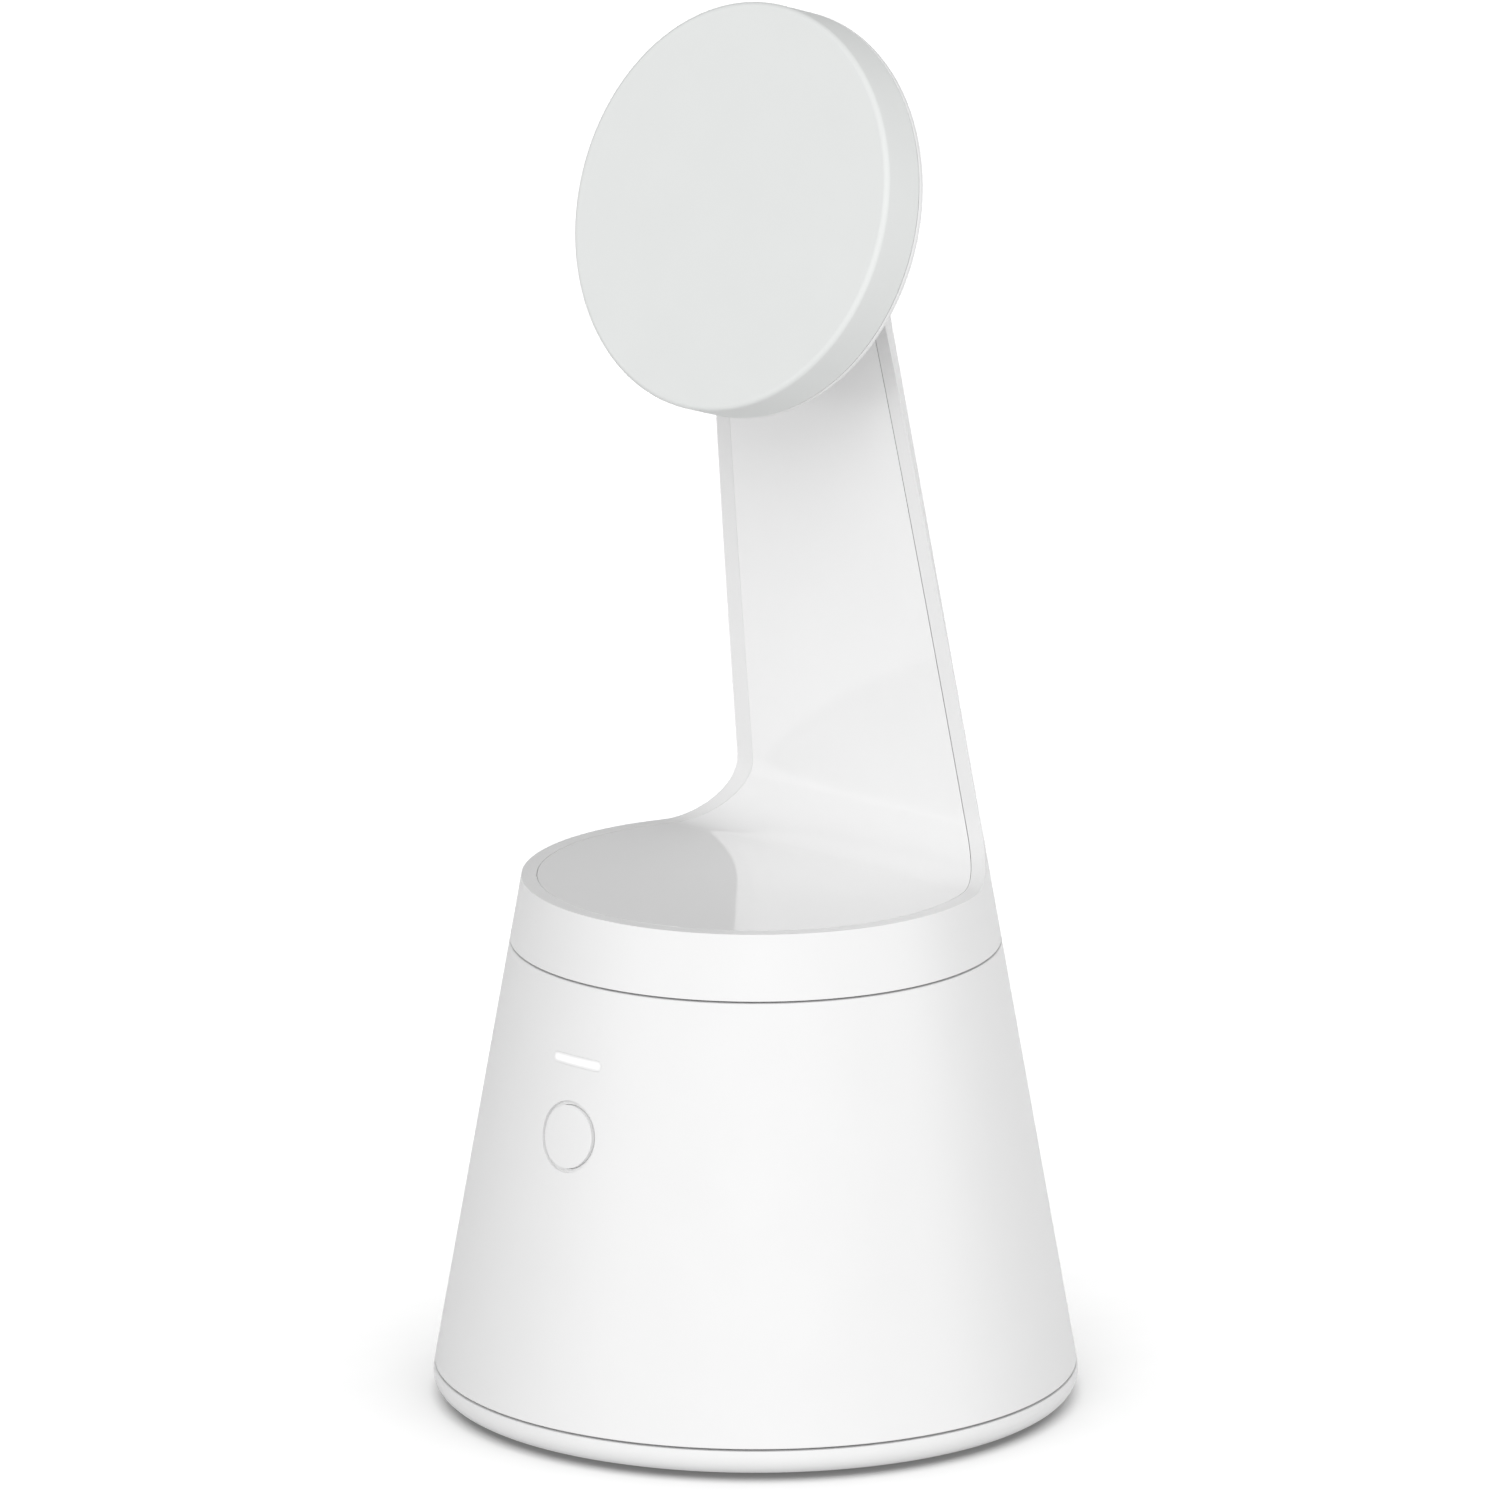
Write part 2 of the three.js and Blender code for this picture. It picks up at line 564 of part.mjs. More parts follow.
root.add(
  gearbox,
  motor,
  pinion,
  part("drive_chassis", driveChassis(), STEEL),
  ...screws("chassis_screw", CHASSIS_SCREW_RING, 2.2, 1, [51.1, 52.2], 60),
  part("spindle_bushing", spindleBushing(), BRASS),
  part(
    "thrust_washer",
    ring(THRUST.inner, THRUST.outer, THRUST.bottom, THRUST.top, MEDIUM_ROUND),
    NYLON,
  ),
  part("spindle", spindle(), STEEL),
  part("retaining_clip", retainingClip(), STEEL),
  part("drive_gear", driveGear(), NYLON),
  part("turntable_plate", turntablePlate(), DARK_PLASTIC),
  ...screws("plate_screw", PLATE_SCREW_RING, 2, 0.9, [67.4, 68.3], 71.8),
  part("arm_shell", armShell(), WHITE),
  part("arm_liner", armLiner(), GLOSS_WHITE),
  part("arm_fork", armFork(), WHITE),
  part("arm_spine", armSpine(), STEEL),
  part(
    "hinge_pin",
    alongX(rod(PIN.radius, -PIN.half, PIN.half)).translate(0, pivotY, PIVOT_Z),
    STEEL,
  ),
  head(),
);

export default root;
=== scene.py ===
"""A motorised phone mount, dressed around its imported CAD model.

A tapered base with a push button and a status light carries a turntable. The turntable's collar
rises at the back into a leaning arm, and a magnetic disc tilts on the fork at the arm's top.
Lengths are in metres in the CAD model's frame: +Z up, the front faces -Y.
"""

import logging
import math
from collections.abc import Callable
from dataclasses import dataclass, field
from enum import Enum

import bmesh
import bpy
from mathutils import Matrix, Vector


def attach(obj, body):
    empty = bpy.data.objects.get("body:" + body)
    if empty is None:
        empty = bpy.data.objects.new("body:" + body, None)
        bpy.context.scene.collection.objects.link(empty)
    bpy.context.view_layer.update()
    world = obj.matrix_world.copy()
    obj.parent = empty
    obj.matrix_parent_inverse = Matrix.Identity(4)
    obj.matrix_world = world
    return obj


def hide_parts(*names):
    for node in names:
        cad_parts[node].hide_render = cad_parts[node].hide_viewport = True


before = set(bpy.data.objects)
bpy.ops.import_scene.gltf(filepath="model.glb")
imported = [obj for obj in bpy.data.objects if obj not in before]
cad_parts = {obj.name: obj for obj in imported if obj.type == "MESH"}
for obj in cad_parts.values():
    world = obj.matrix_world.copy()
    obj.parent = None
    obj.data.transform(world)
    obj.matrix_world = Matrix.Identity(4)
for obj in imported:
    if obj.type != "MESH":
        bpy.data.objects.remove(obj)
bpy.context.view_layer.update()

LOG = logging.getLogger("phone_mount")
MM = 0.001

Point2 = tuple[float, float]
Node = bpy.types.Node
Mesh = bmesh.types.BMesh
Vert = bmesh.types.BMVert
Triple = tuple[float, float, float]

# A corner of an outline: across, height and, where it is rounded, its radius.
Corner = tuple[float, ...]

CREASE = math.radians(32.0)
RIM_TURN = math.radians(50.0)
WELD = 1e-7


class Body(Enum):
    """The rigid bodies that the new pieces ride on."""

    BASE = "base"
    TURNTABLE = "turntable"
    HEAD = "head"
    BUTTON = "power_button"
    DOOR = "battery_door"


class Slot(Enum):
    """The record's material slots."""

    SHELL = "white_shell"
    LINER = "gloss_liner"
    PAD = "pad_grey"
    LENS = "light_lens"
    FOOT = "rubber_foot"
    DARK = "dark_plastic"
    STEEL = "steel"
    BRASS = "brass"
    NYLON = "nylon"
    BOARD = "circuit_board"
    CELL = "cell_wrap"


class Join(Enum):
    """What a carving tool does to the solid."""

    ADD = "UNION"
    CUT = "DIFFERENCE"
    KEEP = "INTERSECT"


Tools = list[tuple[Join, Mesh]]


# ---------------------------------------------------------------- finishes


class NodeWork:
    """A node tree, with short calls that add nodes and link them."""

    def __init__(self, tree: bpy.types.NodeTree) -> None:
        """Work on a tree."""
        self.tree = tree

    def add(self, kind: str, values: dict | None = None, **settings: object) -> Node:
        """Add a node.

        Args:
            kind: the node's type, without the leading ShaderNode.
            values: default values by input name or number.
            settings: the node's own settings.

        Returns:
            The node.
        """
        node = self.tree.nodes.new("ShaderNode" + kind)
        for name, value in settings.items():
            setattr(node, name, value)
        for name, value in (values or {}).items():
            node.inputs[name].default_value = value
        return node

    def link(self, source: Node, output: str | int, target: Node, socket: str | int) -> None:
        """Link one node's output to another's input."""
        self.tree.links.new(source.outputs[output], target.inputs[socket])

    def ranged(self, span: Point2, result: Point2, smooth: bool = False) -> Node:
        """Add a node that maps one range of values to another.

        Args:
            span: the range that comes in.
            result: the range that goes out.
            smooth: whether it eases in and out.

        Returns:
            The node.
        """
        values = dict(zip(("From Min", "From Max", "To Min", "To Max"), (*span, *result)))
        return self.add(
            "MapRange", values, interpolation_type="SMOOTHSTEP" if smooth else "LINEAR"
        )


class Shading(NodeWork):
    """A material's node tree, with short calls for the nodes that the finishes share.

    Object coordinates feed every texture.
    """

    NOISE_SPAN = (0.3, 0.7)

    def __init__(self, name: str) -> None:
        """Start an empty surface material.

        Args:
            name: the material's name.
        """
        self.material = bpy.data.materials.new(name)
        self.material.use_nodes = True
        super().__init__(self.material.node_tree)
        self.bsdf = self.tree.nodes["Principled BSDF"]
        self.coordinates = self.add("TexCoord")

    def constant(self, **sockets: object) -> None:
        """Set the shader's own sockets; an underscore stands for a space."""
        for name, value in sockets.items():
            self.bsdf.inputs[name.replace("_", " ")].default_value = value

    def noise(self, grain: float, detail: float = 2.0, stretch: Triple = (1, 1, 1)) -> Node:
        """Add a noise texture on object coordinates.

        Args:
            grain: size of one grain, in metres.
            detail: octaves of finer noise.
            stretch: scale along each axis, for brushed grain.

        Returns:
            The noise node.
        """
        node = self.add("TexNoise", {"Scale": 1.0 / grain, "Detail": detail})
        mapping = self.add("Mapping", {"Scale": stretch})
        self.link(self.coordinates, "Object", mapping, "Vector")
        self.link(mapping, "Vector", node, "Vector")
        return node

    def vary_color(self, source: Node, dark: Triple, light: Triple) -> None:
        """Run the base colour between two colours along a node's factor.

        Args:
            source: node whose first output drives the colour.
            dark: linear RGB at the low end.
            light: linear RGB at the high end.
        """
        ramp = self.add("ValToRGB")
        ends = zip(ramp.color_ramp.elements, self.NOISE_SPAN, (dark, light))
        for element, position, color in ends:
            element.position = position
            element.color = (*color, 1.0)
        self.link(source, 0, ramp, "Fac")
        self.link(ramp, "Color", self.bsdf, "Base Color")

    def vary_roughness(self, source: Node, low: float, high: float) -> None:
        """Run the roughness between two values along a node's factor.

        Args:
            source: node whose first output drives the roughness.
            low: roughness at the low end.
            high: roughness at the high end.
        """
        spread = self.ranged(self.NOISE_SPAN, (low, high))
        self.link(source, 0, spread, "Value")
        self.link(spread, "Result", self.bsdf, "Roughness")

    def bump(self, source: Node, height: float) -> None:
        """Raise the surface by a node's first output.

        Args:
            source: node that gives the relief.
            height: height of the relief, in metres.
        """
        node = self.add("Bump", {"Strength": 1.0, "Distance": height})
        self.link(source, 0, node, "Height")
        self.link(node, "Normal", self.bsdf, "Normal")


@dataclass(frozen=True)
class MouldedPlastic:
    """Moulded plastic with a fine grain and slightly uneven colour and gloss."""

    name: str
    color: Triple
    roughness: float
    grain: float = 0.25 * MM
    relief: float = 0.004 * MM
    unevenness: float = 0.012
    specular: float = 0.5
    sheen: float = 0.0
    patch: float = 9 * MM
    gloss_span: Point2 = (0.94, 1.06)

    def build(self) -> bpy.types.Material:
        """Make the finish.

        Returns:
            The Blender material.
        """
        shading = Shading(self.name)
        shading.constant(Specular_IOR_Level=self.specular, Sheen_Weight=self.sheen)
        cloud = shading.noise(self.patch, 3.0)
        dark = tuple(c * (1 - self.unevenness) for c in self.color)
        shading.vary_color(cloud, dark, self.color)
        shading.vary_roughness(cloud, *(self.roughness * share for share in self.gloss_span))
        shading.bump(shading.noise(self.grain), self.relief)
        return shading.material


@dataclass(frozen=True)
class BrushedMetal:
    """Metal with a fine drawn grain."""

    name: str
    color: Triple
    roughness: float
    along: Triple = (1.0, 12.0, 12.0)
    grain: float = 0.9 * MM
    relief: float = 0.002 * MM
    shade: float = 0.88
    gloss_span: Point2 = (0.8, 1.2)

    def build(self) -> bpy.types.Material:
        """Make the finish.

        Returns:
            The Blender material.
        """
        shading = Shading(self.name)
        shading.constant(Metallic=1.0)
        grain = shading.noise(self.grain, 4.0, self.along)
        shading.vary_color(grain, tuple(c * self.shade for c in self.color), self.color)
        shading.vary_roughness(grain, *(self.roughness * share for share in self.gloss_span))
        shading.bump(grain, self.relief)
        return shading.material


@dataclass(frozen=True)
class CircuitBoard:
    """Solder mask over copper tracks."""

    name: str
    mask: Triple
    track: Triple
    pitch: float = MM / 0.22
    gap: float = 0.06
    shade: float = 0.85

    def build(self) -> bpy.types.Material:
        """Make the finish.

        Returns:
            The Blender material.
        """
        shading = Shading(self.name)
        shading.constant(Coat_Weight=0.3, Coat_Roughness=0.2)
        colors = (self.mask, tuple(c * self.shade for c in self.mask), self.track)
        values = {"Scale": 1.0 / self.pitch, "Mortar Size": self.gap}
        for socket, color in zip(("Color1", "Color2", "Mortar"), colors):
            values[socket] = (*color, 1.0)
        tracks = shading.add("TexBrick", values)
        shading.link(shading.coordinates, "Object", tracks, "Vector")
        shading.link(tracks, "Color", shading.bsdf, "Base Color")
        shading.vary_roughness(shading.noise(3 * MM), 0.3, 0.45)
        return shading.material


@dataclass(frozen=True)
class CellSleeve:
    """A cell's printed sleeve: dark along most of the can, copper towards one end."""

    name: str
    dark: Triple
    copper: Triple
    band_start: float

    def build(self) -> bpy.types.Material:
        """Make the finish.

        Returns:
            The Blender material.
        """
        shading = Shading(self.name)
        shading.constant(Metallic=0.5, Coat_Weight=0.4, Coat_Roughness=0.15)
        split = shading.add("SeparateXYZ")
        band = shading.add("Math", {1: self.band_start}, operation="GREATER_THAN")
        shading.link(shading.coordinates, "Object", split, 0)
        shading.link(split, "X", band, 0)
        shading.vary_color(band, self.dark, self.copper)
        shading.vary_roughness(shading.noise(2 * MM), 0.25, 0.35)
        return shading.material


@dataclass(frozen=True)
class LitLens:
    """A diffusing bar that glows along its middle and fades towards its outline."""

    name: str
    color: Triple
    strength: float
    centre: Triple
    half: float
    half_height: float
    end_start: float = 0.8
    edge_start: float = 0.1

    def build(self) -> bpy.types.Material:
        """Make the finish.

        Returns:
            The Blender material.
        """
        shading = Shading(self.name)
        shading.constant(Base_Color=(*self.color, 1.0), Emission_Color=(*self.color, 1.0))
        size = {"Location": self.centre, "Scale": (self.half, 1.0, self.half_height)}
        place = shading.add("Mapping", size, vector_type="TEXTURE")
        reach = shading.add("VectorMath", operation="ABSOLUTE")
        ways = shading.add("SeparateXYZ")
        glow = shading.add("Math", operation="MULTIPLY")
        shading.link(shading.coordinates, "Object", place, "Vector")
        shading.link(place, "Vector", reach, 0)
        shading.link(reach, "Vector", ways, 0)
        for socket, (way, start) in enumerate((("X", self.end_start), ("Z", self.edge_start))):
            fade = shading.ranged((start, 1.0), (math.sqrt(self.strength), 0.0), True)
            shading.link(ways, way, fade, "Value")
            shading.link(fade, "Result", glow, socket)
        shading.link(glow, "Value", shading.bsdf, "Emission Strength")
        shading.vary_roughness(shading.noise(0.5 * MM), 0.38, 0.44)
        return shading.material


FINISHES = {
    Slot.SHELL: MouldedPlastic("shell_white", (0.86, 0.86, 0.86), 0.42),
    Slot.LINER: MouldedPlastic(
        "liner_gloss", (0.92, 0.92, 0.92), 0.07, relief=0.0008 * MM, unevenness=0.006
    ),
    Slot.PAD: MouldedPlastic(
        "pad_soft_grey", (0.783, 0.798, 0.79), 0.62, 0.12 * MM, 0.006 * MM, specular=0.3, sheen=0.1
    ),
    Slot.LENS: LitLens(
        "lens_lit", (0.86, 0.86, 0.86), 0.32, (0, -36.1 * MM, 55 * MM), 4.6 * MM, 0.72 * MM
    ),
    Slot.FOOT: MouldedPlastic(
        "foot_rubber", (0.045, 0.045, 0.047), 0.8, 0.3 * MM, 0.02 * MM, 0.1, specular=0.3
    ),
    Slot.DARK: MouldedPlastic("dark_plastic", (0.035, 0.036, 0.038), 0.45, unevenness=0.08),
    Slot.STEEL: BrushedMetal("bright_steel", (0.62, 0.63, 0.65), 0.32),
    Slot.BRASS: BrushedMetal("plain_brass", (0.78, 0.6, 0.3), 0.3),
    Slot.NYLON: MouldedPlastic("natural_nylon", (0.8, 0.78, 0.7), 0.5, unevenness=0.03),
    Slot.BOARD: CircuitBoard("board_green", (0.02, 0.16, 0.07), (0.06, 0.3, 0.13)),
    Slot.CELL: CellSleeve("cell_sleeve", (0.03, 0.035, 0.04), (0.6, 0.32, 0.12), 14 * MM),
}
MATERIALS: dict[str, bpy.types.Material] = {}


def material_of(slot: Slot) -> bpy.types.Material:
    """Return a slot's material, built the first time that it is asked for.

    Args:
        slot: the material slot.

    Returns:
        The material.
    """
    finish = FINISHES[slot]
    if finish.name not in MATERIALS:
        MATERIALS[finish.name] = finish.build()
    return MATERIALS[finish.name]


# ---------------------------------------------------------------- mesh work


def rounded(corners: list[Corner], closed: bool, steps: int = 6) -> list[Point2]:
    """Turn an outline of corners into points, with an arc at each rounded corner.

    Args:
        corners: the outline's corners in order.
        closed: whether the last corner joins the first.
        steps: segments in each arc.

    Returns:
        The outline's points.
    """
    points: list[Point2] = []
    count = len(corners)
    for i, (across, height, *edge) in enumerate(corners):
        here = Vector((across, height))
        radius = edge[0] if edge and (closed or 0 < i < count - 1) else 0
        if radius <= 0:
            points.append((here.x, here.y))
            continue
        back = (Vector(corners[i - 1][:2]) - here).normalized()
        on = (Vector(corners[(i + 1) % count][:2]) - here).normalized()
        half = back.angle(on) / 2
        centre = here + (back + on).normalized() * (radius / math.sin(half))
        first = here + back * (radius / math.tan(half)) - centre
        last = here + on * (radius / math.tan(half)) - centre
        sweep = first.angle_signed(last)
        for k in range(steps + 1):
            turn = Matrix.Rotation(-sweep * k / steps, 2)
            point = centre + turn @ first
            points.append((point.x, point.y))
    return points


def lathe(corners: list[Corner], sides: int, steps: int = 6) -> Mesh:
    """Spin an outline of radius and height about Z into a closed solid.

    Args:
        corners: the outline; one that starts on the axis is left open there.
        sides: number of sides round the axis.
        steps: segments in each rounded corner.

    Returns:
        The spun mesh.
    """
    ring = corners[0][0] > 0
    bm = bmesh.new()
    section = rounded(corners, ring, steps)
    verts = [bm.verts.new((across, 0.0, height)) for across, height in section]
    edges = [bm.edges.new(pair) for pair in zip(verts, verts[1:])]
    if ring:
        edges.append(bm.edges.new((verts[-1], verts[0])))
    around = {"cent": (0, 0, 0), "axis": (0, 0, 1), "angle": math.tau}
    bmesh.ops.spin(bm, geom=[*verts, *edges], steps=sides, use_merge=True, **around)
    bmesh.ops.remove_doubles(bm, verts=bm.verts, dist=WELD)
    return face_out(bm)


def disc(radius: float, low: float, high: float, edge: float, sides: int) -> Mesh:
    """Make a round slab about Z.

    Args:
        radius: its radius.
        low: height of its underside.
        high: height of its top.
        edge: radius of its rounded edges.
        sides: number of sides.

    Returns:
        The slab's mesh.
    """
    return lathe([(0, low), (radius, low, edge), (radius, high, edge), (0, high)], sides)


def block(size: Vector, centre: Vector, edge: float = 0.0) -> Mesh:
    """Make a box with rounded edges.

    Args:
        size: its lengths along X, Y and Z.
        centre: its middle.
        edge: radius of its edges.

    Returns:
        The box's mesh.
    """
    bm = bmesh.new()
    bmesh.ops.create_cube(bm, size=1.0)
    bmesh.ops.scale(bm, vec=size, verts=bm.verts)
    if edge > 0:
        round_edges(bm, list(bm.edges), edge)
    bmesh.ops.translate(bm, vec=centre, verts=bm.verts)
    return bm


def round_edges(bm: Mesh, edges: list, radius: float, segments: int = 3) -> None:
    """Round some edges of a mesh.

    Args:
        bm: the mesh.
        edges: the edges to round.
        radius: how far the rounding reaches from each edge.
        segments: segments across it.
    """
    bmesh.ops.bevel(
        bm,
        geom=edges,
        offset=radius,
        offset_type="OFFSET",
        segments=segments,
        profile=0.5,
        affect="EDGES",
        clamp_overlap=True,
        material=-1,
    )


def sharp_edges(bm: Mesh, least: float, test: Callable[[Vert], bool]) -> list:
    """Return the edges whose faces turn by more than an angle.

    Args:
        bm: the mesh.
        least: the angle, in radians.
        test: what both ends of an edge have to pass.

    Returns:
        The edges.
    """
    return [
        edge
        for edge in bm.edges
        if len(edge.link_faces) == 2
        and edge.calc_face_angle() > least
        and all(test(vert) for vert in edge.verts)
    ]


def open_edges(bm: Mesh) -> list:
    """Return the edges that have one face."""
    return [edge for edge in bm.edges if len(edge.link_faces) == 1]


def raised_verts(grown: list) -> list:
    """Return the vertices among the parts that an extrusion made."""
    return [item for item in grown if isinstance(item, Vert)]


def face_out(bm: Mesh) -> Mesh:
    """Turn a closed mesh's faces outwards.

    Args:
        bm: the mesh.

    Returns:
        The same mesh.
    """
    bmesh.ops.recalc_face_normals(bm, faces=bm.faces)
    if bm.calc_volume(signed=True) < 0:
        bmesh.ops.reverse_faces(bm, faces=bm.faces)
    return bm


def moved(bm: Mesh, matrix: Matrix) -> Mesh:
    """Move a mesh by a matrix and return it."""
    bmesh.ops.transform(bm, matrix=matrix, verts=bm.verts)
    return bm


def placed(name: str, data: bpy.types.ID) -> bpy.types.Object:
    """Put an object with some data into the scene.

    Args:
        name: the object's name.
        data: its mesh, light or camera.

    Returns:
        The object.
    """
    made = bpy.data.objects.new(name, data)
    bpy.context.scene.collection.objects.link(made)
    return made


def to_object(bm: Mesh, name: str) -> bpy.types.Object:
    """Turn a mesh into a smooth object whose sharp edges stay sharp.

    Args:
        bm: the mesh, which is used up.
        name: the object's name.

    Returns:
        The new object, at the origin.
    """
    for face in bm.faces:
        face.smooth = True
    for edge in bm.edges:
        edge.smooth = len(edge.link_faces) == 2 and edge.calc_face_angle() < CREASE
    data = bpy.data.meshes.new(name)
    bm.to_mesh(data)
    bm.free()
    return placed(name, data)


def on_circle(radius: float, degrees: float) -> Matrix:
    """Return the move from the Z axis to a point on a circle round it."""
    turn = math.radians(degrees)
    return Matrix.Translation((radius * math.cos(turn), radius * math.sin(turn), 0))


def arc_points(radius: float, z: float, turns: list[float]) -> list[Vector]:
    """Return the points at some angles round Z, at one height."""
    return [Vector((radius * math.cos(a), radius * math.sin(a), z)) for a in turns]


def carve(name: str, body: Mesh, tools: Tools) -> Mesh:
    """Join solids to a solid, or cut them out of it.

    Args:
        name: name used while working.
        body: the solid that is worked on, which is used up.
        tools: what each tool does, and its solid.

    Returns:
        The mesh that is left.
    """
    target = to_object(body, name)
    spent = [target]
    for number, (operation, tool) in enumerate(tools):
        cutter = to_object(tool, f"{name}_tool_{number}")
        modifier = target.modifiers.new(f"step_{number}", "BOOLEAN")
        modifier.operation = operation.value
        modifier.solver = "EXACT"
        modifier.object = cutter
        spent.append(cutter)
    bpy.context.view_layer.update()
    evaluated = target.evaluated_get(bpy.context.evaluated_depsgraph_get())
    bm = bmesh.new()
    bm.from_mesh(evaluated.to_mesh())
    evaluated.to_mesh_clear()
    for used in spent:
        data = used.data
        bpy.data.objects.remove(used)
        bpy.data.meshes.remove(data)
    bmesh.ops.remove_doubles(bm, verts=bm.verts, dist=WELD)
    bmesh.ops.dissolve_degenerate(bm, edges=bm.edges, dist=WELD)
    return bm


@dataclass
class Fitter:
    """Puts finished pieces on their bodies and keeps count of them."""

    made: list[str] = field(default_factory=list)

    def fit(self, bm: Mesh, name: str, body: Body, slot: Slot, stands_for: str) -> None:
        """Finish a piece and let it ride on its body.

        Args:
            bm: the piece's mesh, in the model's frame.
            name: the piece's name.
            body: the body that it moves with.
            slot: its material slot.
            stands_for: the CAD node that it replaces.
        """
        piece = to_object(bm, name)
        piece.data.materials.append(material_of(slot))
        piece.modifiers.new("flat_faces", "WEIGHTED_NORMAL").keep_sharp = True
        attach(piece, body.value)
        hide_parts(stands_for)
        self.made.append(name)
        LOG.info("%s: %d faces on %s", name, len(piece.data.polygons), body.value)


# ---------------------------------------------------------------- the shared form


@dataclass(frozen=True)
class TaperForm:
    """The cone that the base, the collar and the arm all lie on."""

    foot_radius: float
    foot_z: float
    taper: float = math.radians(10.0)
    wall: float = 2.1 * MM
    deck_z: float = 74.8 * MM
    depth: float = 10.3 * MM
    fillet: float = 8.0 * MM
    fillet_steps: int = 14
    spacing: float = 3 * MM

    def radius(self, z: float, inset: float = 0.0) -> float:
        """Return the cone's radius at a height, less an inset square to its wall."""
        outer = self.foot_radius - math.tan(self.taper) * (z - self.foot_z)
        return outer - inset / math.cos(self.taper)

    def front(self, z: float) -> float:
        """Return the arm's front plane at a height, as Y."""
        return self.radius(z) - self.depth

    def half_width(self, y: float, z: float, inset: float) -> float:
        """Return half the cone's width at a place across it."""
        return math.sqrt(max(self.radius(z, inset) ** 2 - y * y, 0.0))

    def fillet_centre(self) -> Vector:
        """Return the centre (Y, Z) of the fillet between the deck and the arm's front."""
        z = self.deck_z + self.fillet
        return Vector((self.front(z) - self.fillet / math.cos(self.taper), z))

    def front_stations(self, top: float) -> list[Point2]:
        """Return points (Y, Z) from the deck, round the fillet and up the arm's front.

        Args:
            top: height of the last point.

        Returns:
            The points, from the deck upwards.
        """
        centre = self.fillet_centre()
        reach = self.fillet
        points = []
        for k in range(self.fillet_steps + 1):
            turn = -math.pi / 2 + (math.pi / 2 + self.taper) * k / self.fillet_steps
            points.append((centre.x + reach * math.cos(turn), centre.y + reach * math.sin(turn)))
        low = points[-1][1]
        rises = max(2, round((top - low) / self.spacing))
        heights = [low + (top - low) * k / rises for k in range(1, rises + 1)]
        return points + [(self.front(z), z) for z in heights]


def extruded(bm: Mesh, verts: list, edges: list, levels: list[list[Vector]]) -> list:
    """Extrude a chain of edges through levels of points.

    Args:
        bm: the mesh.
        verts: the chain's vertices in order.
        edges: the chain's edges.
        levels: the points of each new chain.

    Returns:
        The last chain's vertices in order.
    """
    for level in levels:
        grown = bmesh.ops.extrude_edge_only(bm, edges=edges)["geom"]
        fresh = set(raised_verts(grown))
        raised = []
        for vert, point in zip(verts, level):
            above = next(e.other_vert(vert) for e in vert.link_edges if e.other_vert(vert) in fresh)
            above.co = point
            raised.append(above)
        edges = [
            item
            for item in grown
            if isinstance(item, bmesh.types.BMEdge) and set(item.verts) <= fresh
        ]
        verts = raised
    return verts


# ---------------------------------------------------------------- the sub-assemblies

FORM = TaperForm(foot_radius=45 * MM, foot_z=4.6 * MM)
HINGE = Vector((0.0, FORM.radius(165.3 * MM) - FORM.depth / 2, 165.3 * MM))
HEAD_PLACE = (
    Matrix.Translation(HINGE)
    @ Matrix.Rotation(math.radians(-18.3), 4, "X")
    @ Matrix.Rotation(math.radians(90), 4, "X")
)
WALL_PLACE = Matrix.Translation(
    (0, -FORM.radius(44.6 * MM), 44.6 * MM)
) @ Matrix.Rotation(-FORM.taper, 4, "X")
FACING_FRONT = Matrix.Rotation(math.radians(90), 4, "X")
FACING_BACK = Matrix.Rotation(math.radians(-90), 4, "X")
BUTTON_PLACE = WALL_PLACE @ FACING_FRONT
ALONG_X = Matrix.Rotation(math.radians(90), 4, "Y")
UPRIGHT = Matrix(((0, 0, 1, 0), (1, 0, 0, 0), (0, 1, 0, 0), (0, 0, 0, 1)))


def cone_solid(low: float, high: float, inset: float = 0.0, sides: int = 256) -> Mesh:
    """Make a solid that fills the form's cone.

    Args:
        low: height of its underside.
        high: height of its top.
        inset: how far it lies inside the cone's surface.
        sides: number of sides.

    Returns:
        The solid's mesh.
    """
    wide, narrow = FORM.radius(low, inset), FORM.radius(high, inset)
    return lathe([(0, low), (wide, low), (narrow, high), (0, high)], sides)


def prism(outline: list[Point2], low: float, high: float) -> Mesh:
    """Draw an X-Y outline and extrude it along Z.

    Args:
        outline: the outline's points in order.
        low: height of its underside.
        high: height of its top.

    Returns:
        The prism's mesh.
    """
    bm = bmesh.new()
    base = bm.faces.new([bm.verts.new((x, y, low)) for x, y in outline])
    grown = bmesh.ops.extrude_face_region(bm, geom=[base])["geom"]
    bmesh.ops.translate(bm, vec=(0, 0, high - low), verts=raised_verts(grown))
    return face_out(bm)


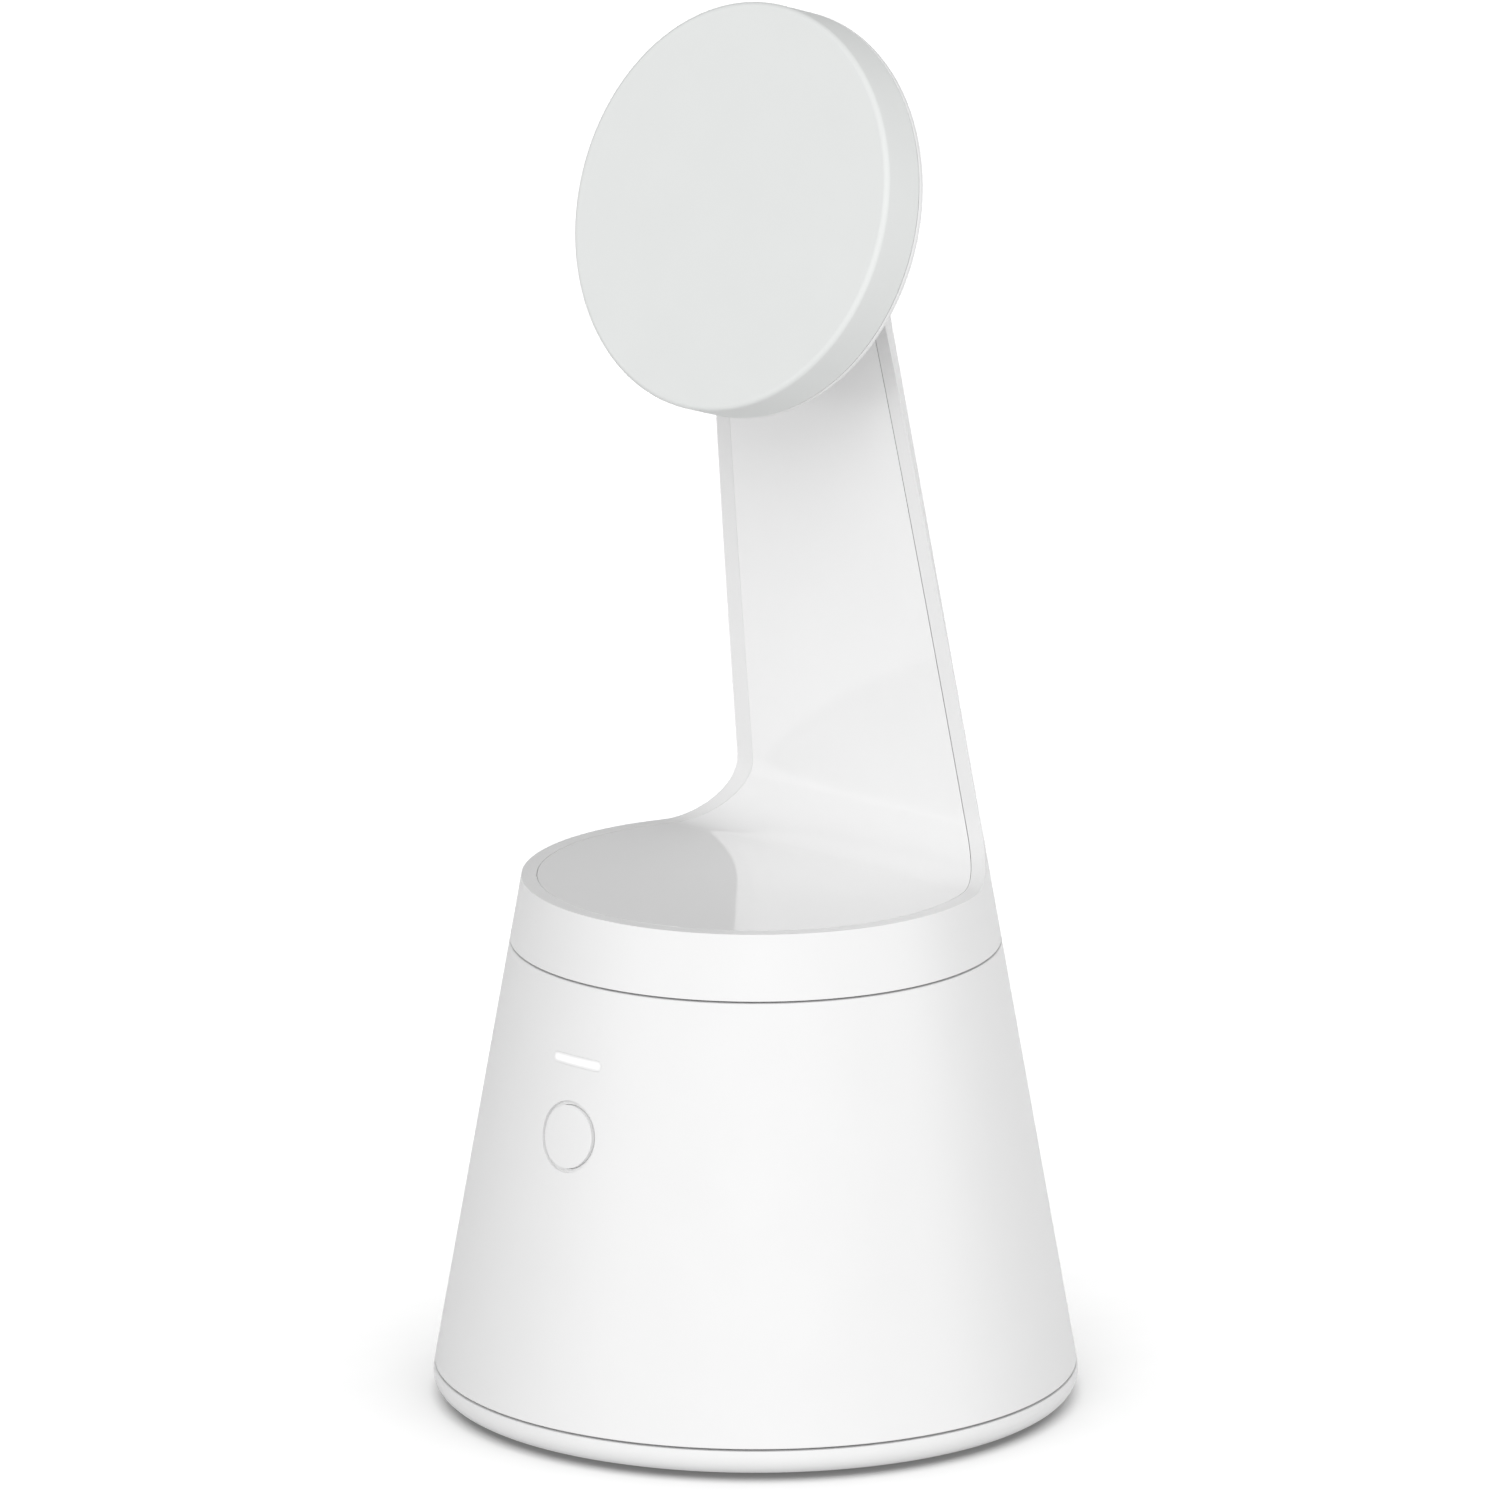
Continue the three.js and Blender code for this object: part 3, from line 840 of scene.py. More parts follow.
@dataclass
class ScrewSet:
    """Screws on one circle, all alike, with a domed head and a driving recess."""

    node: str
    body: Body
    circle: float
    angles: tuple[float, ...]
    head_radius: float
    shank_radius: float
    head_base: float
    head_top: float
    shank_end: float
    dome: float = 0.35
    recess_depth: float = 0.6
    recess_reach: float = 1.15
    recess_width: float = 0.26

    def recess(self) -> Tools:
        """Return the tools that cut the driving recess, a cross.

        Returns:
            The two slots, each cut out.
        """
        side = math.copysign(1, self.head_top - self.head_base)
        depth = self.recess_depth * abs(self.head_top - self.head_base)
        deep, clear = self.head_top - side * depth, self.head_top + side * MM
        tall = abs(clear - deep)
        middle = Vector((0, 0, (deep + clear) / 2))
        reach = self.recess_reach * self.head_radius
        slim = self.recess_width * self.head_radius
        sizes = (reach, slim, tall), (slim, reach, tall)
        return [(Join.CUT, block(Vector(size), middle)) for size in sizes]

    def build(self, fitter: Fitter) -> None:
        """Make one screw and put a copy at each place.

        Args:
            fitter: puts the pieces on their body.
        """
        corners = [
            (0, self.head_top),
            (self.head_radius, self.head_top, self.dome * abs(self.head_top - self.head_base)),
            (self.head_radius, self.head_base, 0.1 * MM),
            (self.shank_radius, self.head_base),
            (self.shank_radius, self.shank_end, 0.25 * MM),
            (0, self.shank_end),
        ]
        pattern = carve(self.node, lathe(corners, 32, 4), self.recess())
        for number, angle in enumerate(self.angles, 1):
            name = f"{self.node}_{number}"
            screw = moved(pattern.copy(), on_circle(self.circle, angle))
            fitter.fit(screw, f"{name}_dressed", self.body, Slot.STEEL, name)
        pattern.free()


@dataclass
class Foot:
    """The foot cover, its rubber ring and the battery door."""

    cover_bottom: float = 0.8 * MM
    cover_top: float = 4.45 * MM
    bay: Vector = field(default_factory=lambda: Vector((27.3, 23.3)) * MM)
    screw_circle: float = 34 * MM
    screw_angles: tuple[float, ...] = (65, 115, 245, 295)
    ring_radii: Point2 = (37.4 * MM, 39.6 * MM)
    ring_top: float = 1.6 * MM
    groove_radii: Point2 = (37.1 * MM, 39.9 * MM)
    groove_top: float = 1.9 * MM
    plate_top: float = 2.8 * MM
    flare: float = 0.55 * MM
    notch_y: float = -24.3 * MM
    grip_rows: int = 5
    door_gap: float = 0.8 * MM
    door_thick: float = 1.6 * MM

    def ring(self) -> Mesh:
        """Return the rubber ring that the mount stands on.

        Returns:
            The ring's mesh.
        """
        inner, outer = self.ring_radii
        low = [(inner, 0, 0.5 * MM), (outer, 0, 0.5 * MM)]
        return lathe([*low, (outer, self.ring_top), (inner, self.ring_top)], 192, 5)

    def cover(self) -> Mesh:
        """Return the cover, with its groove, bay opening and screw wells.

        Returns:
            The cover's mesh.
        """
        rim = FORM.radius(self.cover_top)
        corners = [
            (0, self.cover_bottom),
            (rim + self.flare, self.cover_bottom, 2.6 * MM),
            (rim, self.cover_top, 0.15 * MM),
            (41.5 * MM, self.cover_top),
            (41.0 * MM, self.plate_top),
            (0, self.plate_top),
        ]
        inner, outer = self.groove_radii
        groove = [(inner, 0), (outer, 0), (outer, self.groove_top), (inner, self.groove_top)]
        opening = Vector((2 * self.bay.x, 2 * self.bay.y, 12 * MM))
        tools = [
            (Join.CUT, lathe(groove, 192)),
            (Join.CUT, block(opening, Vector((0, 0, 0)), 1.2 * MM)),
        ]
        wells = (
            (Join.ADD, 4.2 * MM, 2.7 * MM, 4.4 * MM, 48),
            (Join.CUT, 2.9 * MM, 0, 2.9 * MM, 48),
            (Join.CUT, 1.5 * MM, 0, 6 * MM, 32),
        )
        for angle in self.screw_angles:
            spot = on_circle(self.screw_circle, angle)
            for join, radius, low, high, sides in wells:
                tools.append((join, moved(disc(radius, low, high, 0, sides), spot)))
        return carve("foot_cover", lathe(corners, 192, 8), tools)

    def door(self) -> Mesh:
        """Return the battery door, with a thumb notch and grip grooves.

        Returns:
            The door's mesh.
        """
        wide, long = 2 * self.bay.x - self.door_gap, 2 * self.bay.y - self.door_gap
        size = Vector((wide, long, self.door_thick))
        panel = block(size, Vector((0, 0, self.door_thick)), 0.3 * MM)
        notch = disc(5 * MM, 0, 1.5 * MM, 0.3 * MM, 64)
        tools = [(Join.CUT, moved(notch, Matrix.Translation((0, self.notch_y, 0))))]
        for row in range(self.grip_rows):
            middle = Vector((0, (-17 + 1.6 * row) * MM, 0.8 * MM))
            groove = block(Vector(((20 - 2 * row) * MM, 0.7 * MM, 0.8 * MM)), middle, 0.2 * MM)
            tools.append((Join.CUT, groove))
        return carve("door", panel, tools)

    def build(self, fitter: Fitter) -> None:
        """Build the foot's pieces.

        Args:
            fitter: puts the pieces on their bodies.
        """
        fitter.fit(self.ring(), "foot_ring", Body.BASE, Slot.FOOT, "rubber_foot_ring")
        fitter.fit(self.cover(), "foot_cover", Body.BASE, Slot.SHELL, "foot_plate")
        fitter.fit(self.door(), "door_panel", Body.DOOR, Slot.SHELL, "battery_door")
        ScrewSet(
            node="foot_screw",
            body=Body.BASE,
            circle=self.screw_circle,
            angles=self.screw_angles,
            head_radius=2.6 * MM,
            shank_radius=1 * MM,
            head_base=2.6 * MM,
            head_top=1.1 * MM,
            shank_end=12 * MM,
        ).build(fitter)


@dataclass
class BaseShell:
    """The tapered base, with the button, the light and the power inlet."""

    bottom: float = 4.75 * MM
    top: float = 65.4 * MM
    plate_top: float = 65.0 * MM
    plate_bottom: float = 62.6 * MM
    plate_hole: float = 8.3 * MM
    button_radius: float = 4.4 * MM
    button_gap: float = 0.06 * MM
    groove_width: float = 0.6 * MM
    groove_depth: float = 0.55 * MM
    light_rise: float = 10.56 * MM
    light_half: float = 4.5 * MM
    light_half_height: float = 0.75 * MM
    inlet_z: float = 14 * MM
    fine_sides: int = 512
    skin_band: float = 0.03 * MM
    stem_radius: float = 1.6 * MM
    stem_end: float = -5.6 * MM
    flange_radius: float = 5.6 * MM
    flange: Point2 = (-4 * MM, -3 * MM)
    flange_edge: float = 0.2 * MM
    inlet_hole: float = 4.6 * MM
    housing_mm: Triple = (9, 11.6, 9)
    housing_middle_mm: Triple = (0, 33.8, 0)
    slot_low: float = 53 * MM

    def slot_outline(self, grow: float) -> list[Point2]:
        """Return the light's outline, grown by a margin.

        Args:
            grow: the margin.

        Returns:
            The outline's points.
        """
        half = self.light_half + grow
        tall = self.light_half_height + grow
        signs = ((1, -1), (1, 1), (-1, 1), (-1, -1))
        return rounded([(half * sx, tall * sy, tall * 0.999) for sx, sy in signs], True, 8)

    def light_prism(self, grow: float, inner: float, outer: float) -> Mesh:
        """Return a solid through the wall with the light's outline.

        Args:
            grow: how far the outline is grown.
            inner: where the solid starts, from the wall's surface outwards.
            outer: where it ends.

        Returns:
            The solid's mesh.
        """
        bar = prism(self.slot_outline(grow), inner, outer)
        rise = Matrix.Translation((0, 0, self.light_rise))
        return moved(bar, WALL_PLACE @ rise @ FACING_FRONT)

    def button_groove(self) -> Mesh:
        """Return the solid of the shallow groove round the button.

        Returns:
            The solid's mesh.
        """
        plug = disc(self.button_radius + self.groove_width, -3 * MM, 8 * MM, 0, 128)
        core = cone_solid(self.bottom, self.top, self.groove_depth, self.fine_sides)
        return carve("groove", moved(plug, BUTTON_PLACE), [(Join.CUT, core)])

    def shell(self) -> Mesh:
        """Return the shell with its holes.

        Returns:
            The shell's mesh.
        """
        wall = FORM.wall
        inner = FORM.radius(self.top) - wall
        corners = [
            (FORM.radius(self.bottom, wall), self.bottom),
            (FORM.radius(self.bottom), self.bottom, 0.15 * MM),
            (FORM.radius(self.top), self.top, 0.2 * MM),
            (inner, self.top),
            (inner, self.plate_top),
            (self.plate_hole, self.plate_top, 0.2 * MM),
            (self.plate_hole, self.plate_bottom, 0.2 * MM),
            (FORM.radius(self.plate_bottom, wall), self.plate_bottom),
        ]
        button_hole = disc(self.button_radius + self.button_gap, -4 * MM, 8 * MM, 0, 128)
        inlet_hole = moved(disc(self.inlet_hole, 38 * MM, 46 * MM, 0, 96), FACING_BACK)
        tools = [
            (Join.CUT, moved(button_hole, BUTTON_PLACE)),
            (Join.CUT, self.button_groove()),
            (Join.CUT, self.light_prism(0.02 * MM, -2 * MM, 8 * MM)),
            (Join.CUT, moved(inlet_hole, Matrix.Translation((0, 0, self.inlet_z)))),
        ]
        bm = carve("shell", lathe(corners, 256, 4), tools)
        rims = sharp_edges(bm, RIM_TURN, self.on_skin)
        round_edges(bm, [e for e in rims if e.verts[0].co.z < self.slot_low], 0.2 * MM)
        return bm

    def on_skin(self, vert: Vert) -> bool:
        """Return whether a vertex lies on the cone, away from the shell's ends.

        Args:
            vert: the vertex.

        Returns:
            Whether it does.
        """
        reach = math.hypot(vert.co.x, vert.co.y)
        inside = self.bottom + MM < vert.co.z < self.top - MM
        return inside and abs(reach - FORM.radius(vert.co.z)) < self.skin_band

    def button(self) -> Mesh:
        """Return the button, whose face follows the cone.

        Returns:
            The button's mesh.
        """
        low, high = self.flange
        edge = self.flange_edge
        corners = [
            (0, self.stem_end),
            (self.stem_radius, self.stem_end, edge),
            (self.stem_radius, low),
            (self.flange_radius, low, edge),
            (self.flange_radius, high, edge),
            (self.button_radius, high),
            (self.button_radius, 3 * MM),
            (0, 3 * MM),
        ]
        stem = moved(lathe(corners, 128, 3), BUTTON_PLACE)
        skin = cone_solid(self.bottom, self.top, -0.05 * MM, self.fine_sides)
        bm = carve("button", stem, [(Join.KEEP, skin)])
        rim = sharp_edges(
            bm, RIM_TURN, lambda v: math.hypot(v.co.x, v.co.y) > FORM.radius(v.co.z) - 0.1 * MM
        )
        round_edges(bm, rim, 0.25 * MM)
        return bm

    def inlet(self) -> Mesh:
        """Return the power inlet: a housing with a flared bore and a centre pin.

        Returns:
            The inlet's mesh.
        """
        middle = Vector(self.housing_middle_mm) * MM
        housing = block(Vector(self.housing_mm) * MM, middle, 0.35 * MM)
        bore = [
            (0, 30.6 * MM),
            (2.9 * MM, 30.6 * MM),
            (2.9 * MM, 39.1 * MM),
            (3.5 * MM, 39.7 * MM),
            (3.5 * MM, 41 * MM),
            (0, 41 * MM),
        ]
        pin = [(0, 30.1 * MM), (MM, 30.1 * MM), (MM, 38.6 * MM, 0.6 * MM), (0, 38.6 * MM)]
        tools = [
            (Join.CUT, moved(lathe(bore, 64), FACING_BACK)),
            (Join.ADD, moved(lathe(pin, 32), FACING_BACK)),
        ]
        bm = carve("inlet", housing, tools)
        return moved(bm, Matrix.Translation((0, 0, self.inlet_z)))

    def lens(self) -> Mesh:
        """Return the light's lens, flush with the cone."""
        skin = cone_solid(self.bottom, self.top, 0, self.fine_sides)
        return carve("lens", self.light_prism(0, -2 * MM, 8.2 * MM), [(Join.KEEP, skin)])

    def build(self, fitter: Fitter) -> None:
        """Build the base's pieces.

        Args:
            fitter: puts the pieces on their bodies.
        """
        fitter.fit(self.shell(), "base_skin", Body.BASE, Slot.SHELL, "base_shell")
        fitter.fit(self.button(), "button_cap", Body.BUTTON, Slot.SHELL, "power_button")
        fitter.fit(self.lens(), "light_bar", Body.BASE, Slot.LENS, "status_light_lens")
        fitter.fit(self.inlet(), "inlet_socket", Body.BASE, Slot.DARK, "power_inlet")


@dataclass
class Arm:
    """The collar and arm: an outer skin, a glossy liner and the fork at the top."""

    collar_bottom: float = 65.7 * MM
    top: float = 156.5 * MM
    fork_bottom: float = 156.8 * MM
    back_columns: int = 96
    front_columns: int = 96
    rim: float = 0.28 * MM
    liner_gap: float = 0.07 * MM
    liner_thick: float = 2.2 * MM
    slot_half: float = 5.65 * MM
    slot_bottom: float = 160.2 * MM
    deck_rows: int = 48
    liner_columns: int = 24
    least_half: float = 0.01 * MM
    knuckle_steps: int = 20
    far: float = 45 * MM
    fork_turn: float = math.radians(40)
    fork_edge: float = 0.25 * MM
    pin_hole: float = 1.9 * MM
    fillet_slack: float = 1.001
    fillet_end: float = 0.18

    def back_turns(self, y: float, reach: float) -> list[float]:
        """Return the angles of a level's points, from its right end round the back.

        Args:
            y: where the ends lie from front to back.
            reach: the level's radius.

        Returns:
            The angles.
        """
        start = math.asin(y / reach)
        sweep = math.pi - 2 * start
        return [start + sweep * k / self.back_columns for k in range(self.back_columns + 1)]

    def chain(self, y: float, z: float, inset: float) -> list[Vector]:
        """Return a level's points from its right end round the back to its left end.

        Args:
            y: where the ends lie from front to back.
            z: the level's height.
            inset: how far the points lie inside the cone's surface.

        Returns:
            The points.
        """
        reach = FORM.radius(z, inset)
        return arc_points(reach, z, self.back_turns(y, reach))

    def collar_ring(self, z: float, inset: float) -> list[Vector]:
        """Return a whole ring of the collar, whose back part matches the arm's first level.

        Args:
            z: the ring's height.
            inset: how far the ring lies inside the cone's surface.

        Returns:
            The points.
        """
        y, deck = FORM.front_stations(self.top)[0]
        back = self.back_turns(y, FORM.radius(deck, inset))
        rest = math.tau - (math.pi - 2 * back[0])
        count = self.front_columns
        front = [math.pi - back[0] + rest * k / count for k in range(1, count)]
        return arc_points(FORM.radius(z, inset), z, back + front)

    def grow_arm(self, bm: Mesh, ring: list, inset: float) -> None:
        """Grow one surface of the arm up from the back of the collar's top ring.

        Args:
            bm: the mesh that it grows in.
            ring: the collar's top ring of vertices, which starts with its back part.
            inset: how far the surface lies inside the cone's.
        """
        back = ring[: self.back_columns + 1]
        edges = [bm.edges.get(pair) for pair in zip(back, back[1:])]
        stations = FORM.front_stations(self.top)[1:]
        extruded(bm, back, edges, [self.chain(y, z, inset) for y, z in stations])

    def skin(self) -> Mesh:
        """Return the collar's and arm's outer skin, with its rims rounded.

        Returns:
            The skin's mesh.
        """
        bm = bmesh.new()
        deck = FORM.front_stations(self.top)[0][1]
        verts = [bm.verts.new(point) for point in self.collar_ring(self.collar_bottom, 0)]
        low = [bm.edges.new(pair) for pair in zip(verts, verts[1:] + verts[:1])]
        self.grow_arm(bm, extruded(bm, verts, low, [self.collar_ring(deck, 0)]), 0)
        lowest = set(low)
        high = [edge for edge in open_edges(bm) if edge not in lowest]
        wall = FORM.wall
        levels = [self.collar_ring(z, wall) for z in (self.collar_bottom, deck)]
        self.grow_arm(bm, extruded(bm, verts, low, levels), wall)
        bmesh.ops.bridge_loops(bm, edges=open_edges(bm))
        face_out(bm)
        round_edges(bm, high + low, self.rim)
        return bm

    def liner(self) -> Mesh:
        """Return the deck and the arm's front as one curved plate.

        Returns:
            The plate's mesh.
        """
        inset = FORM.wall + self.liner_gap
        deck = FORM.radius(FORM.deck_z, inset)
        stations = FORM.front_stations(self.top)
        end = math.acos(-stations[0][0] / deck)
        rows, columns = self.deck_rows, self.liner_columns
        path = [(-deck * math.cos(end * k / rows), FORM.deck_z) for k in range(rows)] + stations
        shares = [2 * k / columns - 1 for k in range(columns + 1)]
        levels = []
        for y, z in path:
            half = max(FORM.half_width(y, z, inset), self.least_half)
            levels.append([Vector((half * share, y, z)) for share in shares])
        bm = bmesh.new()
        verts = [bm.verts.new(point) for point in levels[0]]
        extruded(bm, verts, [bm.edges.new(pair) for pair in zip(verts, verts[1:])], levels[1:])
        bmesh.ops.remove_doubles(bm, verts=bm.verts, dist=2 * self.least_half)
        bmesh.ops.recalc_face_normals(bm, faces=bm.faces)
        if sum(face.normal.z * face.calc_area() for face in bm.faces) < 0:
            bmesh.ops.reverse_faces(bm, faces=bm.faces)
        outline = {vert for edge in open_edges(bm) for vert in edge.verts}
        grown = bmesh.ops.extrude_face_region(bm, geom=list(bm.faces))["geom"]
        for vert in raised_verts(grown):
            reach = FORM.half_width(vert.co.y, vert.co.z, inset)
            vert.co += self.inward(vert.co)
            deep = FORM.half_width(vert.co.y, vert.co.z, inset)
            vert.co.x *= deep / max(reach, MM)
        face_out(bm)
        round_edges(bm, sharp_edges(bm, RIM_TURN, lambda v: v in outline), 0.15 * MM, 2)
        return bm

    def inward(self, point: Vector) -> Vector:
        """Return the step from the liner's face to its back.

        Args:
            point: a point of the face.

        Returns:
            The step.
        """
        centre = FORM.fillet_centre()
        if point.z < centre.y and point.y <= centre.x:
            return Vector((0, 0, -self.liner_thick))
        lean = Vector((0, math.cos(FORM.taper), math.sin(FORM.taper)))
        away = Vector((0, point.y - centre.x, point.z - centre.y))
        near = away.length < FORM.fillet * self.fillet_slack
        turned = near and point.z < centre.y + FORM.fillet * self.fillet_end
        return (away.normalized() if turned else lean) * self.liner_thick

    def fork(self) -> Mesh:
        """Return the fork that holds the tilt hinge.

        Returns:
            The fork's mesh.
        """
        radius = FORM.depth / 2 * math.cos(FORM.taper)
        start = math.pi + FORM.taper
        turns = [start - math.pi * k / self.knuckle_steps for k in range(self.knuckle_steps + 1)]
        arc = [(HINGE.y + radius * math.cos(a), HINGE.z + radius * math.sin(a)) for a in turns]
        end_y, end_z = arc[-1]
        outline = [
            (FORM.front(self.fork_bottom), self.fork_bottom),
            *arc,
            (self.far, end_z + (self.far - end_y) * 0.01),
            (self.far, self.fork_bottom),
        ]
        slab = moved(prism(outline, -30 * MM, 30 * MM), UPRIGHT)
        slot = block(
            Vector((2 * self.slot_half, 60 * MM, 40 * MM)),
            Vector((0, 0, self.slot_bottom + 20 * MM)),
        )
        hole = disc(self.pin_hole, -8.5 * MM, 20 * MM, 0, 48)
        tools = [
            (Join.KEEP, cone_solid(self.fork_bottom, 178 * MM)),
            (Join.CUT, slot),
            (Join.CUT, moved(hole, Matrix.Translation(HINGE) @ ALONG_X)),
        ]
        bm = carve("fork", slab, tools)
        round_edges(bm, sharp_edges(bm, self.fork_turn, lambda v: True), self.fork_edge, 2)
        return bm

    def build(self, fitter: Fitter) -> None:
        """Build the arm's pieces.

        Args:
            fitter: puts the pieces on their bodies.
        """
        fitter.fit(self.skin(), "arm_skin", Body.TURNTABLE, Slot.SHELL, "arm_shell")
        fitter.fit(self.liner(), "arm_face", Body.TURNTABLE, Slot.LINER, "arm_liner")
        fitter.fit(self.fork(), "hinge_fork", Body.TURNTABLE, Slot.SHELL, "arm_fork")


@dataclass
class Head:
    """The magnetic disc and the knuckle that tilts it."""

    radius: float = 28.5 * MM
    back: float = 9.82 * MM
    front: float = 17.82 * MM
    pad_back: float = 16.65 * MM
    wall: float = 1.5 * MM
    front_edge: float = 0.75 * MM
    back_edge: float = 0.7 * MM
    gap: float = 0.12 * MM
    cap_wall: float = 0.6 * MM
    cap_hem: float = 11.0 * MM
    hole_circle: float = 6.2 * MM
    hole_radius: float = 1.3 * MM
    hole_angles: tuple[float, ...] = (30, 150, 270)
    flange_radius: float = 9 * MM
    flange_back: float = 7.5 * MM
    neck_mm: Triple = (9.2, 7.2, 8.4)
    neck_middle_mm: Triple = (0, 0, 4.2)
    barrel_radius: float = 4.6 * MM
    barrel_half: float = 4.6 * MM
    bore_radius: float = 1.9 * MM

    def pad(self) -> Mesh:
        """Return the soft cap that covers the disc's face and wraps its side.

        Returns:
            The cap's mesh.
        """
        inner = self.radius - self.cap_wall
        corners = [
            (0, self.pad_back),
            (inner, self.pad_back),
            (inner, self.cap_hem),
            (self.radius, self.cap_hem, 0.15 * MM),
            (self.radius, self.front, self.front_edge),
            (0, self.front),
        ]
        return moved(lathe(corners, 256, 8), HEAD_PLACE)

    def screw_holes(self) -> Tools:
        """Return the tools that cut the head screws' holes.

        Returns:
            The holes, each cut out.
        """
        spots = [on_circle(self.hole_circle, angle) for angle in self.hole_angles]
        holes = [moved(disc(self.hole_radius, 6 * MM, 12 * MM, 0, 32), spot) for spot in spots]
        return [(Join.CUT, hole) for hole in holes]

    def housing(self) -> Mesh:
        """Return the cup inside the cap, with screw holes in its back.

        Returns:
            The cup's mesh.
        """
        rim = self.pad_back - self.gap
        floor = self.back + 1.6 * MM
        waist = self.radius - self.cap_wall - self.gap
        hem = self.cap_hem - self.gap
        corners = [
            (0, self.back),
            (self.radius, self.back, self.back_edge),
            (self.radius, hem, 0.1 * MM),
            (waist, hem),
            (waist, rim, 0.1 * MM),
            (self.radius - self.wall, rim),
            (self.radius - self.wall, floor),
            (0, floor),
        ]
        bm = carve("housing", lathe(corners, 256), self.screw_holes())
        return moved(bm, HEAD_PLACE)

    def knuckle(self) -> Mesh:
        """Return the knuckle: a flange, a neck and a barrel on the hinge.

        Returns:
            The knuckle's mesh.
        """
        flange = disc(self.flange_radius, self.flange_back, self.back - 0.3 * MM, 0.5 * MM, 96)
        middle = Vector(self.neck_middle_mm) * MM
        neck = block(Vector(self.neck_mm) * MM, middle, 0.5 * MM)
        half = self.barrel_half
        barrel = moved(disc(self.barrel_radius, -half, half, 0.4 * MM, 64), ALONG_X)
        bore = moved(disc(self.bore_radius, -10 * MM, 10 * MM, 0, 48), ALONG_X)
        tools = [(Join.ADD, neck), (Join.ADD, barrel), (Join.CUT, bore), *self.screw_holes()]
        return moved(carve("knuckle", flange, tools), HEAD_PLACE)

    def build(self, fitter: Fitter) -> None:
        """Build the head's pieces.

        Args:
            fitter: puts the pieces on their bodies.
        """
        fitter.fit(self.pad(), "disc_pad", Body.HEAD, Slot.PAD, "front_pad")
        fitter.fit(self.housing(), "disc_cup", Body.HEAD, Slot.SHELL, "disc_housing")
        fitter.fit(self.knuckle(), "tilt_knuckle", Body.HEAD, Slot.SHELL, "head_knuckle")


@dataclass
class Insides:
    """The CAD pieces that keep their shape and take a worked finish."""

    finishes: dict[Slot, str] = field(
        default_factory=lambda: {
            Slot.DARK: "battery_tray controller_chip tact_switch turntable_plate",
            Slot.CELL: "battery_cell",
            Slot.BRASS: "battery_contact motor_pinion spindle_bushing",
            Slot.STEEL: "ballast_plate board_screw gearbox drive_motor drive_chassis"
            " chassis_screw spindle retaining_clip plate_screw arm_spine hinge_pin"
            " magnet_ring steel_yoke head_screw",
            Slot.BOARD: "main_board front_board",
            Slot.LENS: "status_led",
            Slot.NYLON: "thrust_washer drive_gear magnet_carrier friction_washer",
        }
    )

    def dress(self) -> int:
        """Give each shown CAD node its finish.

        Returns:
            The number of nodes dressed.
        """
        slots = {stem: slot for slot, stems in self.finishes.items() for stem in stems.split()}
        count = 0
        for name, node in sorted(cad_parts.items()):
            if node.hide_render:
                continue
            slot = slots[max((stem for stem in slots if name.startswith(stem)), key=len)]
            node.data.materials.clear()
            node.data.materials.append(material_of(slot))
            LOG.info("%s keeps its CAD shape, in %s", name, slot.value)
            count += 1
        return count


# ---------------------------------------------------------------- the studio


@dataclass
class SoftBox:
    """A rectangular area light aimed at a point."""

    name: str
    place: Triple
    size: Point2
    power: float
    mirrored: bool = True

    def build(self, aim: Vector) -> None:
        """Make the light.

        Args:
            aim: the point that it faces.
        """
        data = bpy.data.lights.new(self.name, "AREA")
        data.shape = "RECTANGLE"
        data.size, data.size_y = self.size
        data.energy = self.power
        lamp = placed(self.name, data)
        lamp.visible_glossy = self.mirrored
        lamp.location = self.place
        lamp.rotation_mode = "QUATERNION"
        lamp.rotation_quaternion = (aim - Vector(self.place)).to_track_quat("-Z", "Y")


